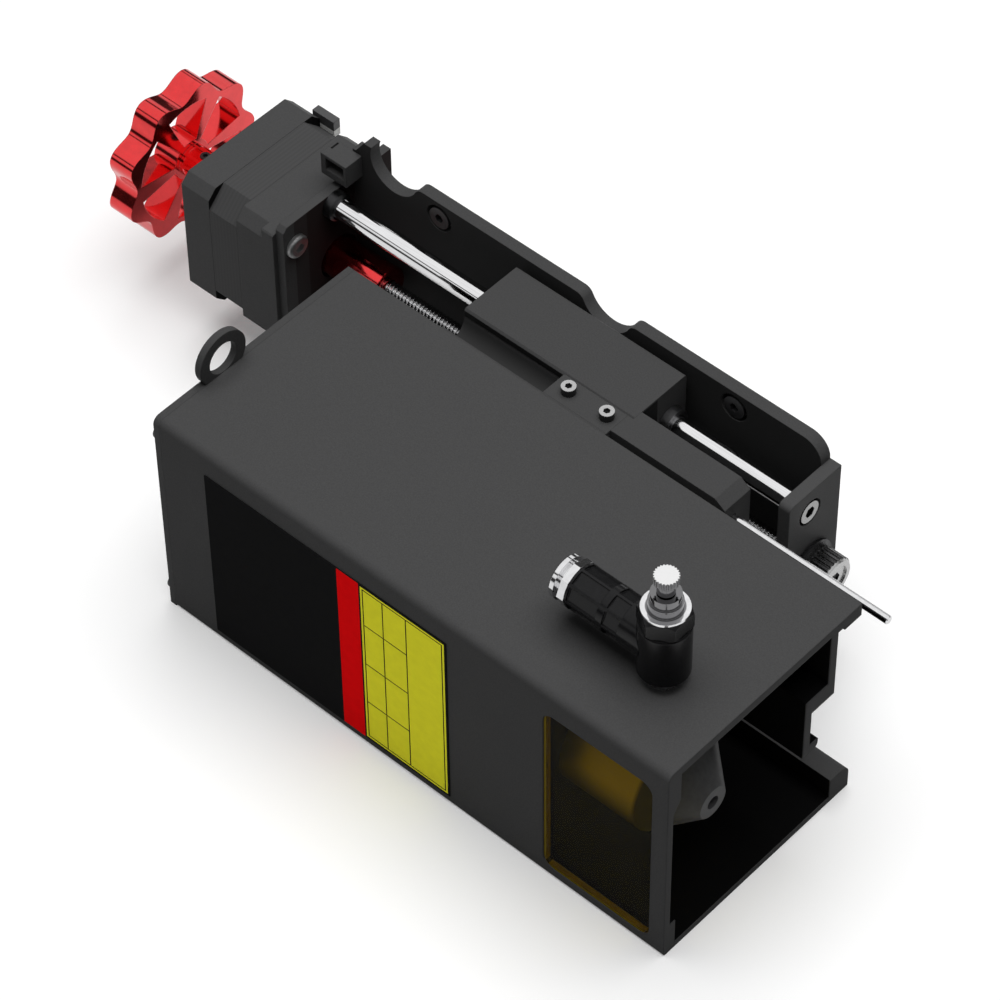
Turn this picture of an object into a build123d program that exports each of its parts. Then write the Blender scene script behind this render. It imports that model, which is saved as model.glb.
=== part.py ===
"""Laser diode head on a motor-driven height slide.

Millimetres. X runs along the slide towards the nozzle, Y across it, Z up.
The origin is the centre of the four mounting screws on the back face of the base plate,
so the back face is the plane Y = 0 and the laser head lies on the -Y side of it.
"""
import os
from math import cos, pi, radians, sin, sqrt

from build123d import *

# Base plate
plate_length = 131.7
plate_height = 57.2
plate_thickness = 3.0
plate_rear = -66.9
plate_corner = 5.0
mount_spacing_x = 83.0
mount_spacing_z = 48.0
mount_screw_r = 1.9
mount_head_r = 2.75
mount_head_height = 1.9
mount_counterbore_r = 3.5
mount_stud_length = 1.5
mount_stud_r = 1.5
mount_socket_r = 1.15
scallop_depth = 5.4
scallop_r = 6.9
scallop_round = 2.4
scallop_from_rear = 12.2
scallop_spacing = 61.0
ear_height = 3.7
ear_length = 6.0
ear_setback = 0.9

# Screw and guide shafts
axis_from_back = 8.8
shaft_from_back = 9.7
shaft_offset_z = 16.9
shaft_r = 2.5
shaft_seat_depth = 2.3
collar_r = 3.4
collar_length = 2.6
lead_screw_r = 2.0
screw_lead = 2.0
running_gap = 0.05

# Motor
motor_side = 35.2
motor_plate_thickness = 2.3
motor_plate_half_height = 20.0
motor_plate_reach = 16.5
motor_plate_corner = 1.2
front_cap_depth = 11.2
front_flange_depth = 3.5
stator_depth = 8.4
rear_cap_depth = 8.4
cap_chamfer = 2.4
front_cap_chamfer = 2.7
flange_chamfer = 0.4
stator_chamfer = 4.9
motor_shaft_r = 2.5
motor_bearing_r = 6.0
motor_bearing_width = 4.0
rotor_r = 10.0
rotor_gap = 0.4
motor_screw_r = 1.25
tie_screw_offset = 13.0
tie_screw_grip = 4.0
tie_screw_clearance = 0.1
face_screw_offset = 13.0
face_screw_grip = 3.5
face_screw_head_r = 2.9
face_screw_head_height = 1.4
face_screw_clearance = 0.2
pilot_r = 5.6

# Front end plate
end_plate_thickness = 3.0
end_plate_height = 46.6
end_plate_depth = 16.5
end_plate_corner = 1.5
shaft_screw_head_r = 2.75
shaft_screw_clearance = 0.6
shaft_screw_head_height = 1.6
shaft_screw_r = 1.5
shaft_screw_length = 9.0
screw_bearing_r = 4.5
washer_r = 6.3
washer_thickness = 0.5
end_nut_r = 5.3
end_nut_length = 6.3
end_nut_ridges = 30
axial_gap = 0.3
end_nut_step_r = 3.6
end_nut_step = 0.4

# Coupling and knob
coupling_r = 5.0
coupling_length = 16.9
coupling_inset = 1.5
set_screw_r = 1.2
knob_r = 20.2
knob_valley_r = 17.2
knob_thickness = 6.8
knob_lobes = 9
knob_phase = 34.0
knob_windows = 6
window_phase = 30.0
window_outer_r = 15.8
window_inner_r = 5.2
window_half_angle = 21.5
hub_r = 4.0
hub_length = 9.3
knob_gap = 6.3

# Carriage
carriage_rear = -17.5
carriage_length = 47.2
carriage_depth = 16.8
carriage_height = 53.4
carriage_gap = 1.3
bushing_wall = 1.2
bushing_length = 14.0
bushing_proud = 2.0
lead_nut_r = 3.7
lead_nut_length = 16.0
side_block_length = 17.5
ledge_drop = 2.0
ledge_r = 4.5
side_block_depth = 6.8
side_block_front = 28.2
side_block_height = 46.0
side_screw_head_r = 1.65
side_screw_head_height = 1.9
side_screw_spacing = 10.5
side_screw_from_front = 3.0
side_screw_from_face = 3.6
side_screw_r = 1.0
side_screw_length = 10.0
bracket_thickness = 0.8
bracket_height = 49.0

# Probe
probe_length = 28.1
probe_nose = 2.7
probe_nose_drop = 1.9
probe_depth = 8.1
probe_height = 14.0
probe_setback = 1.3
probe_r = 1.0
probe_reach = 99.8
probe_hold = 8.5
probe_from_top = 6.0
probe_from_face = 2.6

# Housing section
head_length = 140.0
head_width = 58.5
head_height = 58.5
head_rear = -43.5
head_gap = 29.0
head_below_axis = 30.7
top_wall = 2.2
label_wall = 1.7
floor_wall = 1.5
edge_round = 1.9
upper_wall = 2.1
upper_wall_inset = 9.3
lip_thickness = 3.5
groove_width = 2.0
groove_depth = 1.0
jog_height = 37.0
jog_thickness = 4.6
lower_wall = 2.0
lower_wall_inset = 16.2
lower_wall_end = 24.0
end_lip_reach = 2.7
end_lip_thickness = 2.5
rail_width = 6.1
rail_height = 7.0
rail_round = 2.5
low_boss_width = 3.4
low_boss_height = 9.0
high_boss_width = 3.8
high_boss_height = 10.2
high_boss_slope = 3.3

# Rear cover with its ring lug
cover_thickness = 1.7
lug_r = 6.6
lug_hole_r = 3.95
lug_rise = 4.0
lug_from_face = 19.3
cover_screw_r = 0.9
cover_screw_head_r = 1.6
cover_screw_head_height = 1.2
cover_screw_length = 6.0
cover_screw_rise = 4.2
grille_slots = 7
grille_slot_width = 2.2
grille_slot_pitch = 4.2

# Window pane and label panel
pane_front = 92.5
pane_length = 28.5
pane_height = 49.5
pane_above_floor = 2.5
pane_corner = 3.0
pane_recess = 0.3
label_rear = -29.0
label_length = 67.4
label_height = 49.4
label_above_floor = 2.5
label_thickness = 0.25

# Inside the head
beam_from_face = 19.5
beam_above_floor = 28.0
nozzle_r = 12.5
nozzle_tip_r = 3.9
nozzle_hole_r = 1.6
nozzle_bore_r = 8.0
nozzle_cylinder = 20.0
nozzle_cone = 9.5
nozzle_tip_x = 92.0
block_length = 34.0
block_width = 37.4
block_top = 46.4
block_gap = 0.4
chamber_r = 11.0
chamber_length = 16.0
diode_r = 4.5
diode_length = 6.0
diode_offset = 5.5
lens_r = 6.5
lens_thickness = 3.0
beam_bore_r = 5.0
sink_length = 58.0
sink_base = 5.0
sink_fins = 11
sink_fin_thickness = 1.2
sink_fin_top = 43.0
board_thickness = 1.6
board_length = 82.0
board_inset = 4.0
board_part_offset = 4.0
controller_side = 9.0
coil_side = 6.0
fan_side = 35.0
fan_depth = 10.0
fan_hole_r = 16.5
fan_blade_gap = 0.8
fan_hub_r = 7.0
fan_hub_wall = 1.2
fan_blades = 7
fan_pin_r = 1.0
fan_base = 2.0
fan_screw_offset = 14.5
fan_screw_r = 1.4
fan_above_floor = 10.5

# Cable sockets
socket_wall = 0.8
socket_cavity = 3.4
socket_pin_side = 0.6
socket_pins = 4
socket_pin_pitch = 1.6
connector_before_stator = 2.2
connector_after_stator = 4.3
connector_below_top = 1.0
connector_height = 4.6
connector_depth = 2.0
cable_socket_length = 7.5
cable_socket_depth = 5.1
cable_socket_overhang = 4.8
cable_socket_height = 6.0
cable_socket_below_edge = 0.6
cable_socket_side_wall = 1.4
power_socket_length = 8.0
power_socket_depth = 7.0
power_socket_proud = 2.0
power_socket_y = 33.0
power_socket_below_top = 6.5

# Clamp bar in the housing channel
bar_gap = 0.2
bar_foot_top = 9.0
bar_foot_length = 6.0
bar_hook = 0.8
clamp_screw_r = 1.5
clamp_screw_head_r = 2.7
clamp_screw_head_height = 3.0
clamp_screw_grip = 6.0
clamp_screw_low = 16.0
clamp_screw_high = 31.0
clamp_screw_inset = 3.8

# Air fitting
fitting_from_nozzle_rear = 16.6
fitting_from_beam = 1.0
fitting_base_r = 3.9
fitting_base_height = 2.2
fitting_body_r = 5.5
fitting_round_height = 13.8
fitting_hex_height = 4.5
fitting_hex_r = 5.75
fitting_hex_chamfer = 0.7
fitting_stem_r = 2.4
fitting_stem_depth = 5.0
fitting_bore_r = 1.2
barrel_height = 10.0
barrel_r = 5.1
barrel_reach = 23.4
barrel_flat = 0.45
barrel_panel_depth = 0.45
barrel_collar_length = 2.6
barrel_long_panel = 7.4
barrel_waist = 1.7
end_ring_r = 5.3
end_ring_length = 1.7
collet_r = 3.9
collet_flange_r = 5.0
collet_flange_length = 1.5
collet_travel = 1.0
collet_length = 7.0
tube_r = 3.05
flange_r = 5.0
flange_height = 0.6
collar_low_r = 3.6
collar_low_height = 2.0
collar_high_r = 3.2
collar_high_height = 2.2
valve_neck_r = 1.9
valve_neck_height = 2.7
valve_head_r = 2.6
valve_head_height = 2.0
valve_ridges = 24
valve_stem_r = 1.2
valve_stem_length = 7.0

# Places that follow from the sizes above
plate_front = plate_rear + plate_length
axis_y = -axis_from_back
shaft_y = -shaft_from_back
plate_inner = -plate_thickness
scallop_rear = plate_rear + scallop_from_rear
scallop_front = scallop_rear + scallop_spacing
floor_z = -head_below_axis
roof_z = floor_z + head_height
head_side = -head_gap - head_width
head_front = head_rear + head_length
section_rear = head_rear + cover_thickness
motor_plate_rear = plate_rear - motor_plate_thickness
front_cap_rear = motor_plate_rear - front_cap_depth
stator_rear = front_cap_rear - stator_depth
motor_rear = stator_rear - rear_cap_depth
hub_front = motor_rear - knob_gap
knob_front = hub_front - hub_length
knob_rear = knob_front - knob_thickness
coupling_rear = plate_rear - coupling_inset
coupling_front = coupling_rear + coupling_length
end_plate_front = plate_front + end_plate_thickness
washer_front = end_plate_front + axial_gap + washer_thickness
end_nut_front = washer_front + end_nut_length
carriage_front = carriage_rear + carriage_length
carriage_back = plate_inner - carriage_gap
carriage_face = carriage_back - carriage_depth
side_block_face = carriage_face - side_block_depth
carriage_top = carriage_height / 2
bracket_face = side_block_face - bracket_thickness
beam_y = head_side + beam_from_face
beam_z = floor_z + beam_above_floor
nozzle_rear = nozzle_tip_x - nozzle_cone - nozzle_cylinder
block_rear = nozzle_rear - block_length
sink_rear = block_rear - sink_length
block_side = head_side + low_boss_width + block_gap + 0.6
fitting_x = nozzle_rear + fitting_from_nozzle_rear
fitting_y = beam_y - fitting_from_beam
barrel_end = fitting_x - barrel_reach
side_block_rear = side_block_front - side_block_length
barrel_z = roof_z + barrel_height


def block(x, y, z):
    """A box given by its low and high limits on each axis."""
    size = (x[1] - x[0], y[1] - y[0], z[1] - z[0])
    return Pos(x[0], y[0], z[0]) * Box(*size, align=(Align.MIN, Align.MIN, Align.MIN))


def rod_x(radius, x, y, z):
    """A cylinder along X between two stations."""
    face = Plane((x[0], y, z), x_dir=(0, 1, 0), z_dir=(1, 0, 0)) * Circle(radius)
    return extrude(face, x[1] - x[0])


def rod_y(radius, x, y, z):
    """A cylinder along Y between two stations."""
    face = Plane((x, y[0], z), x_dir=(1, 0, 0), z_dir=(0, 1, 0)) * Circle(radius)
    return extrude(face, y[1] - y[0])


def rod_z(radius, x, y, z):
    """A cylinder along Z between two heights."""
    return extrude(Plane((x, y, z[0])) * Circle(radius), z[1] - z[0])


def hex_socket_x(radius, x, y, z):
    """A hexagonal driving recess along X."""
    face = Plane((x[0], y, z), x_dir=(0, 1, 0), z_dir=(1, 0, 0)) * RegularPolygon(radius, 6)
    return extrude(face, x[1] - x[0])


def hex_socket_y(radius, x, y, z):
    """A hexagonal driving recess along Y."""
    face = Plane((x, y[0], z), x_dir=(1, 0, 0), z_dir=(0, 1, 0)) * RegularPolygon(radius, 6)
    return extrude(face, y[1] - y[0])


def join(shapes):
    """All the given solids fused into one."""
    shapes = list(shapes)
    whole = shapes[0]
    for shape in shapes[1:]:
        whole = whole + shape
    return whole


def group(shapes):
    """Separate like solids kept together as one node."""
    return Compound(children=[solid for shape in shapes for solid in shape.solids()])


def mirrored(offset):
    """The same distance on both sides of an axis."""
    return (-offset, offset)


def section_polygon(points, x_start, x_end):
    """A YZ outline run along X."""
    face = Plane.YZ.offset(x_start) * make_face(Polyline(*points, close=True))
    return extrude(face, x_end - x_start)


# Slide frame


def plate_outline():
    """Plate seen from the side: scalloped top and bottom edges and a raised ear at the rear."""
    half = plate_height / 2
    outline = Pos(plate_rear + plate_length / 2, 0) * Rectangle(plate_length, plate_height)
    front_corners = outline.vertices().group_by(Axis.X)[-1]
    outline = fillet(front_corners, plate_corner)
    ear_start = plate_rear + ear_setback
    ear = make_face(Polyline(
        (ear_start, half - 1),
        (ear_start, half),
        (ear_start + ear_height * 0.7, half + ear_height),
        (ear_start + ear_length, half + ear_height),
        (ear_start + ear_length, half - 1),
        close=True,
    ))
    outline = outline + ear
    for side in (-1, 1):
        for x in (scallop_rear, scallop_front):
            centre_z = side * (half - scallop_depth + scallop_r)
            outline = outline - Pos(x, centre_z) * Circle(scallop_r)
    return outline


def mount_places():
    """Centres of the four mounting screws."""
    return [(x, z) for x in mirrored(mount_spacing_x / 2) for z in mirrored(mount_spacing_z / 2)]


def base_plate():
    """Scalloped plate with four counterbored screw holes."""
    face = Plane.XZ * plate_outline()
    plate = extrude(face, plate_thickness)
    edges = [
        edge for edge in plate.edges().filter_by(Axis.Y)
        if scallop_rear - scallop_r - 1 < edge.center().X < scallop_front + scallop_r + 1
        and abs(abs(edge.center().Z) - plate_height / 2) < 0.1
    ]
    plate = fillet(edges, scallop_round)
    for x, z in mount_places():
        plate = plate - rod_y(mount_screw_r, x, (-plate_thickness, 0), z)
        plate = plate - rod_y(
            mount_counterbore_r, x, (-plate_thickness, -plate_thickness + mount_head_height), z
        )
    return plate


def mounting_screws():
    """Low-head screws sunk in the plate, with their ends standing out of the back."""
    screws = []
    for x, z in mount_places():
        head = rod_y(mount_head_r, x, (plate_inner, plate_inner + mount_head_height), z)
        shank = rod_y(mount_screw_r, x, (plate_inner + mount_head_height, 0), z)
        end = rod_y(mount_stud_r, x, (0, mount_stud_length), z)
        socket = hex_socket_y(mount_socket_r, x, (plate_inner, plate_inner + 1.1), z)
        screws.append(head + shank + end - socket)
    return group(screws)


def motor_square(side, chamfer_size, x_start, x_end):
    """A square motor section about the screw axis with its corners cut off."""
    face = Rectangle(side, side)
    face = chamfer(face.vertices(), chamfer_size)
    section = Plane((x_start, axis_y, 0), x_dir=(0, 1, 0), z_dir=(1, 0, 0)) * face
    return extrude(section, x_end - x_start)


def motor_places(offset):
    """Four places about the screw axis."""
    return [(axis_y + y, z) for y in mirrored(offset) for z in mirrored(offset)]


def motor_mount_plate():
    """Plate between motor and slide, bored for the shaft, the screws and the guide shafts."""
    span = (motor_plate_rear, plate_rear)
    near = axis_y - motor_plate_reach
    plate = block(span, (near, axis_y + motor_side / 2), mirrored(motor_plate_half_height))
    corners = [e for e in plate.edges().filter_by(Axis.X) if e.center().Y < axis_y]
    plate = chamfer(corners, motor_plate_corner)
    plate = plate - rod_x(pilot_r, span, axis_y, 0)
    for z in mirrored(shaft_offset_z):
        plate = plate - rod_x(shaft_r, (plate_rear - shaft_seat_depth, plate_rear), shaft_y, z)
    for y, z in motor_places(face_screw_offset):
        plate = plate - rod_x(motor_screw_r, span, y, z)
        if y > axis_y:
            plate = plate - rod_x(
                face_screw_head_r + face_screw_clearance,
                (plate_rear - face_screw_head_height, plate_rear), y, z)
    return plate


def motor_front_cap():
    """Cap on the slide side of the motor, with a square flange, bearing seat and screw holes."""
    flange_rear = motor_plate_rear - front_flange_depth
    seat_rear = motor_plate_rear - motor_bearing_width
    cap = motor_square(motor_side, front_cap_chamfer, front_cap_rear, flange_rear)
    cap = cap + motor_square(motor_side, flange_chamfer, flange_rear, motor_plate_rear)
    cap = cap - rod_x(rotor_r + rotor_gap, (front_cap_rear, seat_rear), axis_y, 0)
    cap = cap - rod_x(motor_bearing_r, (seat_rear, motor_plate_rear), axis_y, 0)
    for y, z in motor_places(tie_screw_offset):
        cap = cap - rod_x(
            motor_screw_r, (front_cap_rear, front_cap_rear + tie_screw_grip), y, z)
    for y, z in motor_places(face_screw_offset):
        cap = cap - rod_x(
            motor_screw_r, (motor_plate_rear - face_screw_grip, motor_plate_rear), y, z)
    return cap


def motor_stator():
    """Stack of laminations with cut corners and tooth slots round the rotor."""
    stack = motor_square(motor_side, stator_chamfer, stator_rear, front_cap_rear)
    stack = stack - rod_x(rotor_r + rotor_gap, (stator_rear, front_cap_rear), axis_y, 0)
    for y, z in motor_places(tie_screw_offset):
        stack = stack - rod_x(
            motor_screw_r + tie_screw_clearance, (stator_rear, front_cap_rear), y, z)
    return stack


def motor_rear_cap():
    """Cap on the knob side of the motor."""
    seat_front = motor_rear + motor_bearing_width
    cap = motor_square(motor_side, cap_chamfer, motor_rear, stator_rear)
    cap = cap - rod_x(rotor_r + rotor_gap, (seat_front, stator_rear), axis_y, 0)
    cap = cap - rod_x(motor_bearing_r, (motor_rear, seat_front), axis_y, 0)
    for y, z in motor_places(tie_screw_offset):
        cap = cap - rod_x(
            motor_screw_r + tie_screw_clearance, (motor_rear, stator_rear), y, z)
        cap = cap - rod_x(2.4, (motor_rear, motor_rear + 2.0), y, z)
    return cap


def motor_tie_screws():
    """Long screws that hold the caps and the laminations together."""
    screws = []
    for y, z in motor_places(tie_screw_offset):
        head = rod_x(2.2, (motor_rear + 0.4, motor_rear + 2.0), y, z)
        shank = rod_x(
            motor_screw_r, (motor_rear + 2.0, front_cap_rear + tie_screw_grip), y, z)
        socket = hex_socket_x(1.0, (motor_rear + 0.4, motor_rear + 1.3), y, z)
        screws.append(head + shank - socket)
    return group(screws)


def motor_face_screws():
    """Pan-head screws that hold the mount plate on the motor; the far pair is sunk in it."""
    screws = []
    for y, z in motor_places(face_screw_offset):
        seat = plate_rear - face_screw_head_height if y > axis_y else plate_rear
        head = rod_x(face_screw_head_r, (seat, seat + face_screw_head_height), y, z)
        rim = head.edges().group_by(Axis.X)[-1]
        head = fillet(rim, face_screw_head_height * 0.6)
        shank = rod_x(motor_screw_r, (motor_plate_rear - face_screw_grip, seat), y, z)
        socket = hex_socket_x(1.2, (seat + 0.4, seat + face_screw_head_height), y, z)
        screws.append(head + shank - socket)
    return group(screws)


def motor_bearings():
    """The two rings that carry the motor shaft."""
    rings = []
    for x in (motor_rear, motor_plate_rear - motor_bearing_width):
        span = (x, x + motor_bearing_width)
        ring = rod_x(motor_bearing_r, span, axis_y, 0)
        rings.append(ring - rod_x(motor_shaft_r + running_gap, span, axis_y, 0))
    return group(rings)


def motor_connector():
    """Plug header on the far side of the motor, with its open end away from the slide."""
    x = (stator_rear - connector_before_stator, stator_rear + connector_after_stator)
    back = axis_y + motor_side / 2
    top = motor_side / 2 - connector_below_top
    shell = block(x, (back, back + connector_depth), (top - connector_height, top))
    cavity = block(
        (x[0] + socket_wall, x[1] - socket_wall),
        (back + 1.0, back + connector_depth),
        (top - connector_height + socket_wall, top - socket_wall),
    )
    return shell - cavity


def cable_socket():
    """Header for the cable at the rear top corner of the base plate."""
    rear = plate_rear - cable_socket_overhang
    top = plate_height / 2 - cable_socket_below_edge
    x = (rear, rear + cable_socket_length)
    y = (plate_inner - cable_socket_depth, plate_inner)
    shell = block(x, y, (top - cable_socket_height, top))
    mouth = block(
        (x[0] + cable_socket_side_wall, x[1] - socket_wall),
        (y[0], y[1] - socket_wall),
        (top - socket_wall - socket_cavity, top - socket_wall),
    )
    locking_slot = block(
        (x[0] + 0.6, x[0] + 1.1), (y[0] + 2.5, y[1] - 0.4), (top - socket_wall, top))
    return shell - mouth - locking_slot


def cable_socket_pins():
    """Contact pins in the cable header."""
    rear = plate_rear - cable_socket_overhang + cable_socket_side_wall
    front = plate_rear - cable_socket_overhang + cable_socket_length - socket_wall
    middle_z = plate_height / 2 - cable_socket_below_edge - socket_wall - socket_cavity / 2
    half = socket_pin_side / 2
    pitch = (front - rear) / socket_pins
    pins = []
    for index in range(socket_pins):
        x = rear + (index + 0.5) * pitch
        pins.append(block(
            (x - half, x + half),
            (plate_inner - cable_socket_depth * 0.6, plate_inner - socket_wall),
            (middle_z - half, middle_z + half),
        ))
    return group(pins)


def guide_shaft(z):
    """Ground shaft, seated in the mount plate and drilled at the front for its screw."""
    shaft = rod_x(shaft_r, (plate_rear - shaft_seat_depth, plate_front), shaft_y, z)
    return shaft - rod_x(shaft_screw_r, (plate_front - shaft_screw_length, plate_front), shaft_y, z)


def shaft_collars():
    """Collars round the shafts at the motor end."""
    collars = []
    for z in mirrored(shaft_offset_z):
        span = (plate_rear, plate_rear + collar_length)
        collar = rod_x(collar_r, span, shaft_y, z)
        collar = chamfer(collar.edges().group_by(Axis.X)[-1], 0.5)
        collars.append(collar - rod_x(shaft_r, span, shaft_y, z))
    return group(collars)


def front_end_plate():
    """Plate across the front of the slide, counterbored for the shaft screws."""
    span = (plate_front, end_plate_front)
    plate = block(span, (-end_plate_depth, 0), mirrored(end_plate_height / 2))
    corners = [e for e in plate.edges().filter_by(Axis.X) if e.center().Y < -end_plate_depth / 2]
    plate = fillet(corners, end_plate_corner)
    plate = plate - rod_x(screw_bearing_r, span, axis_y, 0)
    for z in mirrored(shaft_offset_z):
        plate = plate - rod_x(shaft_screw_r, span, shaft_y, z)
        plate = plate - rod_x(
            shaft_screw_head_r + shaft_screw_clearance,
            (end_plate_front - shaft_screw_head_height, end_plate_front), shaft_y, z)
    return plate


def shaft_screws():
    """Cap screws that pull the end plate onto the guide shafts."""
    screws = []
    seat = end_plate_front - shaft_screw_head_height
    for z in mirrored(shaft_offset_z):
        head = rod_x(shaft_screw_head_r, (seat, end_plate_front), shaft_y, z)
        shank = rod_x(shaft_screw_r, (plate_front - shaft_screw_length + 1, seat), shaft_y, z)
        socket = hex_socket_x(1.45, (end_plate_front - 1.1, end_plate_front), shaft_y, z)
        screws.append(head + shank - socket)
    return group(screws)


def screw_bearing():
    """Plain bearing for the front end of the lead screw."""
    span = (plate_front, end_plate_front)
    return rod_x(screw_bearing_r, span, axis_y, 0) - rod_x(
        lead_screw_r + running_gap, span, axis_y, 0)


# Drive screw


def knob_rim():
    """Lobed outline: arcs of even size, alternately bulging and hollow."""
    middle_r = (knob_r + knob_valley_r) / 2
    swing = (knob_r - knob_valley_r) / 2
    steps = knob_lobes * 8
    points = []
    for step in range(steps):
        angle = 2 * pi * step / steps
        radius = middle_r + swing * cos(knob_lobes * (angle - radians(knob_phase)))
        points.append((radius * cos(angle), radius * sin(angle)))
    return make_face(Spline(*points, periodic=True))


def knob_window():
    """One sector-shaped opening between two spokes."""
    far = 2 * knob_r
    half = radians(window_half_angle)
    wedge = make_face(Polyline(
        (0, 0), (far * cos(half), far * sin(half)), (far * cos(half), -far * sin(half)), close=True))
    return (Circle(window_outer_r) - Circle(window_inner_r)) & wedge


def knob():
    """Lobed hand wheel with six openings and a hub towards the motor."""
    def at(x):
        return Plane((x, axis_y, 0), x_dir=(0, 1, 0), z_dir=(1, 0, 0))

    wheel = extrude(at(knob_rear) * knob_rim(), knob_thickness)
    for index in range(knob_windows):
        turn = Rot(0, 0, window_phase + index * 360 / knob_windows)
        wheel = wheel - extrude(at(knob_rear) * turn * knob_window(), knob_thickness)
    hub = rod_x(hub_r, (knob_front, hub_front), axis_y, 0)
    wheel = wheel + hub
    wheel = wheel - rod_x(motor_shaft_r, (knob_rear, hub_front), axis_y, 0)
    hub_middle = (knob_front + hub_front) / 2
    return wheel - rod_z(set_screw_r, hub_middle, axis_y, (0, hub_r))


def knob_set_screw():
    """Grub screw in the knob's hub."""
    hub_middle = (knob_front + hub_front) / 2
    screw = rod_z(set_screw_r, hub_middle, axis_y, (motor_shaft_r, hub_r))
    return screw - rod_z(0.6, hub_middle, axis_y, (hub_r - 0.8, hub_r))


def motor_shaft():
    """Shaft through the motor, from the knob to the coupling."""
    return rod_x(motor_shaft_r, (knob_rear + 0.5, coupling_rear + coupling_length * 0.45), axis_y, 0)


def motor_rotor():
    """Rotor on the shaft inside the motor."""
    span = (stator_rear - 2, front_cap_rear + 2)
    return rod_x(rotor_r, span, axis_y, 0) - rod_x(motor_shaft_r, span, axis_y, 0)


def coupling_screw_stations():
    """Where the coupling's grub screws sit along X."""
    return (coupling_rear + 2.6, coupling_front - 2.6)


def shaft_coupling():
    """Plain sleeve that joins the motor shaft and the lead screw."""
    middle = coupling_rear + coupling_length / 2
    body = rod_x(coupling_r, (coupling_rear, coupling_front), axis_y, 0)
    body = chamfer(body.edges().filter_by(GeomType.CIRCLE), 0.4)
    body = body - rod_x(motor_shaft_r, (coupling_rear, middle), axis_y, 0)
    body = body - rod_x(lead_screw_r, (middle, coupling_front), axis_y, 0)
    for x in coupling_screw_stations():
        body = body - rod_z(set_screw_r, x, axis_y, (-coupling_r, 0))
    return body


def coupling_set_screws():
    """Grub screws in the underside of the coupling."""
    inner = (motor_shaft_r, lead_screw_r)
    screws = []
    for x, low in zip(coupling_screw_stations(), inner):
        screw = rod_z(set_screw_r, x, axis_y, (0.3 - coupling_r, -low))
        screws.append(screw - rod_z(0.6, x, axis_y, (0.3 - coupling_r, 1.2 - coupling_r)))
    return group(screws)


def lead_screw():
    """Lead screw from the coupling through the carriage to the end nut."""
    start = coupling_rear + coupling_length / 2 + 1.0
    return rod_x(lead_screw_r, (start, end_nut_front - 1.6), axis_y, 0)


def end_washer():
    """Thin washer between the end nut and the end plate."""
    span = (end_plate_front + axial_gap, washer_front)
    return rod_x(washer_r, span, axis_y, 0) - rod_x(lead_screw_r, span, axis_y, 0)


def end_nut():
    """Knurled nut on the front end of the screw, with a stepped socket in its face."""
    span = (washer_front, end_nut_front)
    nut = rod_x(end_nut_r, span, axis_y, 0)
    nut = chamfer(nut.edges().group_by(Axis.X)[-1], 0.6)
    for index in range(end_nut_ridges):
        angle = 2 * pi * index / end_nut_ridges
        y = axis_y + end_nut_r * cos(angle)
        z = end_nut_r * sin(angle)
        nut = nut - rod_x(0.3, (washer_front + 1.2, end_nut_front), y, z)
    nut = nut - rod_x(end_nut_step_r, (end_nut_front - end_nut_step, end_nut_front), axis_y, 0)
    nut = nut - rod_x(lead_screw_r, (washer_front, end_nut_front - 1.6), axis_y, 0)
    return nut - hex_socket_x(1.8, (end_nut_front - 1.6, end_nut_front), axis_y, 0)


# Carriage


def carriage_block():
    """Block that rides on the two shafts and holds the lead nut."""
    span = (carriage_rear, carriage_front)
    body = block(span, (carriage_face, carriage_back), mirrored(carriage_top))
    body = chamfer(body.edges().filter_by(Axis.X), 0.5)
    for z in mirrored(shaft_offset_z):
        body = body - rod_x(shaft_r + 0.5, span, shaft_y, z)
        for seat in bushing_spans():
            body = body - rod_x(shaft_r + bushing_wall, seat, shaft_y, z)
    body = body - rod_x(lead_screw_r + 0.5, span, axis_y, 0)
    return body - rod_x(
        lead_nut_r, (carriage_rear, carriage_rear + lead_nut_length), axis_y, 0)


def bushing_spans():
    """The rear and front bushing seats along X."""
    return (
        (carriage_rear, carriage_rear + bushing_length),
        (carriage_front - bushing_length, carriage_front),
    )


def guide_bushings():
    """Plain bushings, two on each guide shaft; the front ones stand out of the carriage."""
    rear, front = bushing_spans()
    bushings = []
    for z in mirrored(shaft_offset_z):
        for span in (rear, (front[0], front[1] + bushing_proud)):
            outer = rod_x(shaft_r + bushing_wall, span, shaft_y, z)
            bushings.append(outer - rod_x(shaft_r + running_gap, span, shaft_y, z))
    return group(bushings)


def lead_nut():
    """Brass nut pressed into the carriage."""
    span = (carriage_rear, carriage_rear + lead_nut_length)
    return rod_x(lead_nut_r, span, axis_y, 0) - rod_x(
        lead_screw_r + running_gap, span, axis_y, 0)


def side_screw_places():
    """The two screws in the top of the side block."""
    first = side_block_front - side_screw_from_front
    y = side_block_face + side_screw_from_face
    return [(first, y), (first - side_screw_spacing, y)]


def side_block():
    """Block between the carriage and the bracket plate; its rear part is a hollowed ledge."""
    low = carriage_top - side_block_height
    y = (side_block_face, carriage_face)
    body = block((side_block_rear, side_block_front), y, (low, carriage_top))
    ledge_top = carriage_top - ledge_drop
    ledge_span = (carriage_rear, side_block_rear)
    ledge = block(ledge_span, y, (low, ledge_top))
    hollow_y = carriage_face - ledge_r
    ledge = ledge - rod_x(ledge_r, ledge_span, hollow_y, ledge_top)
    ledge = ledge - block(ledge_span, (side_block_face, hollow_y), (ledge_top - ledge_r, ledge_top))
    body = body + ledge
    for x, y in side_screw_places():
        body = body - rod_z(side_screw_r, x, y, (carriage_top - side_screw_length, carriage_top))
    for x, z in clamp_places():
        body = body - rod_y(
            clamp_screw_r, x, (side_block_face, side_block_face + clamp_screw_grip), z)
    return body


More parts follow.
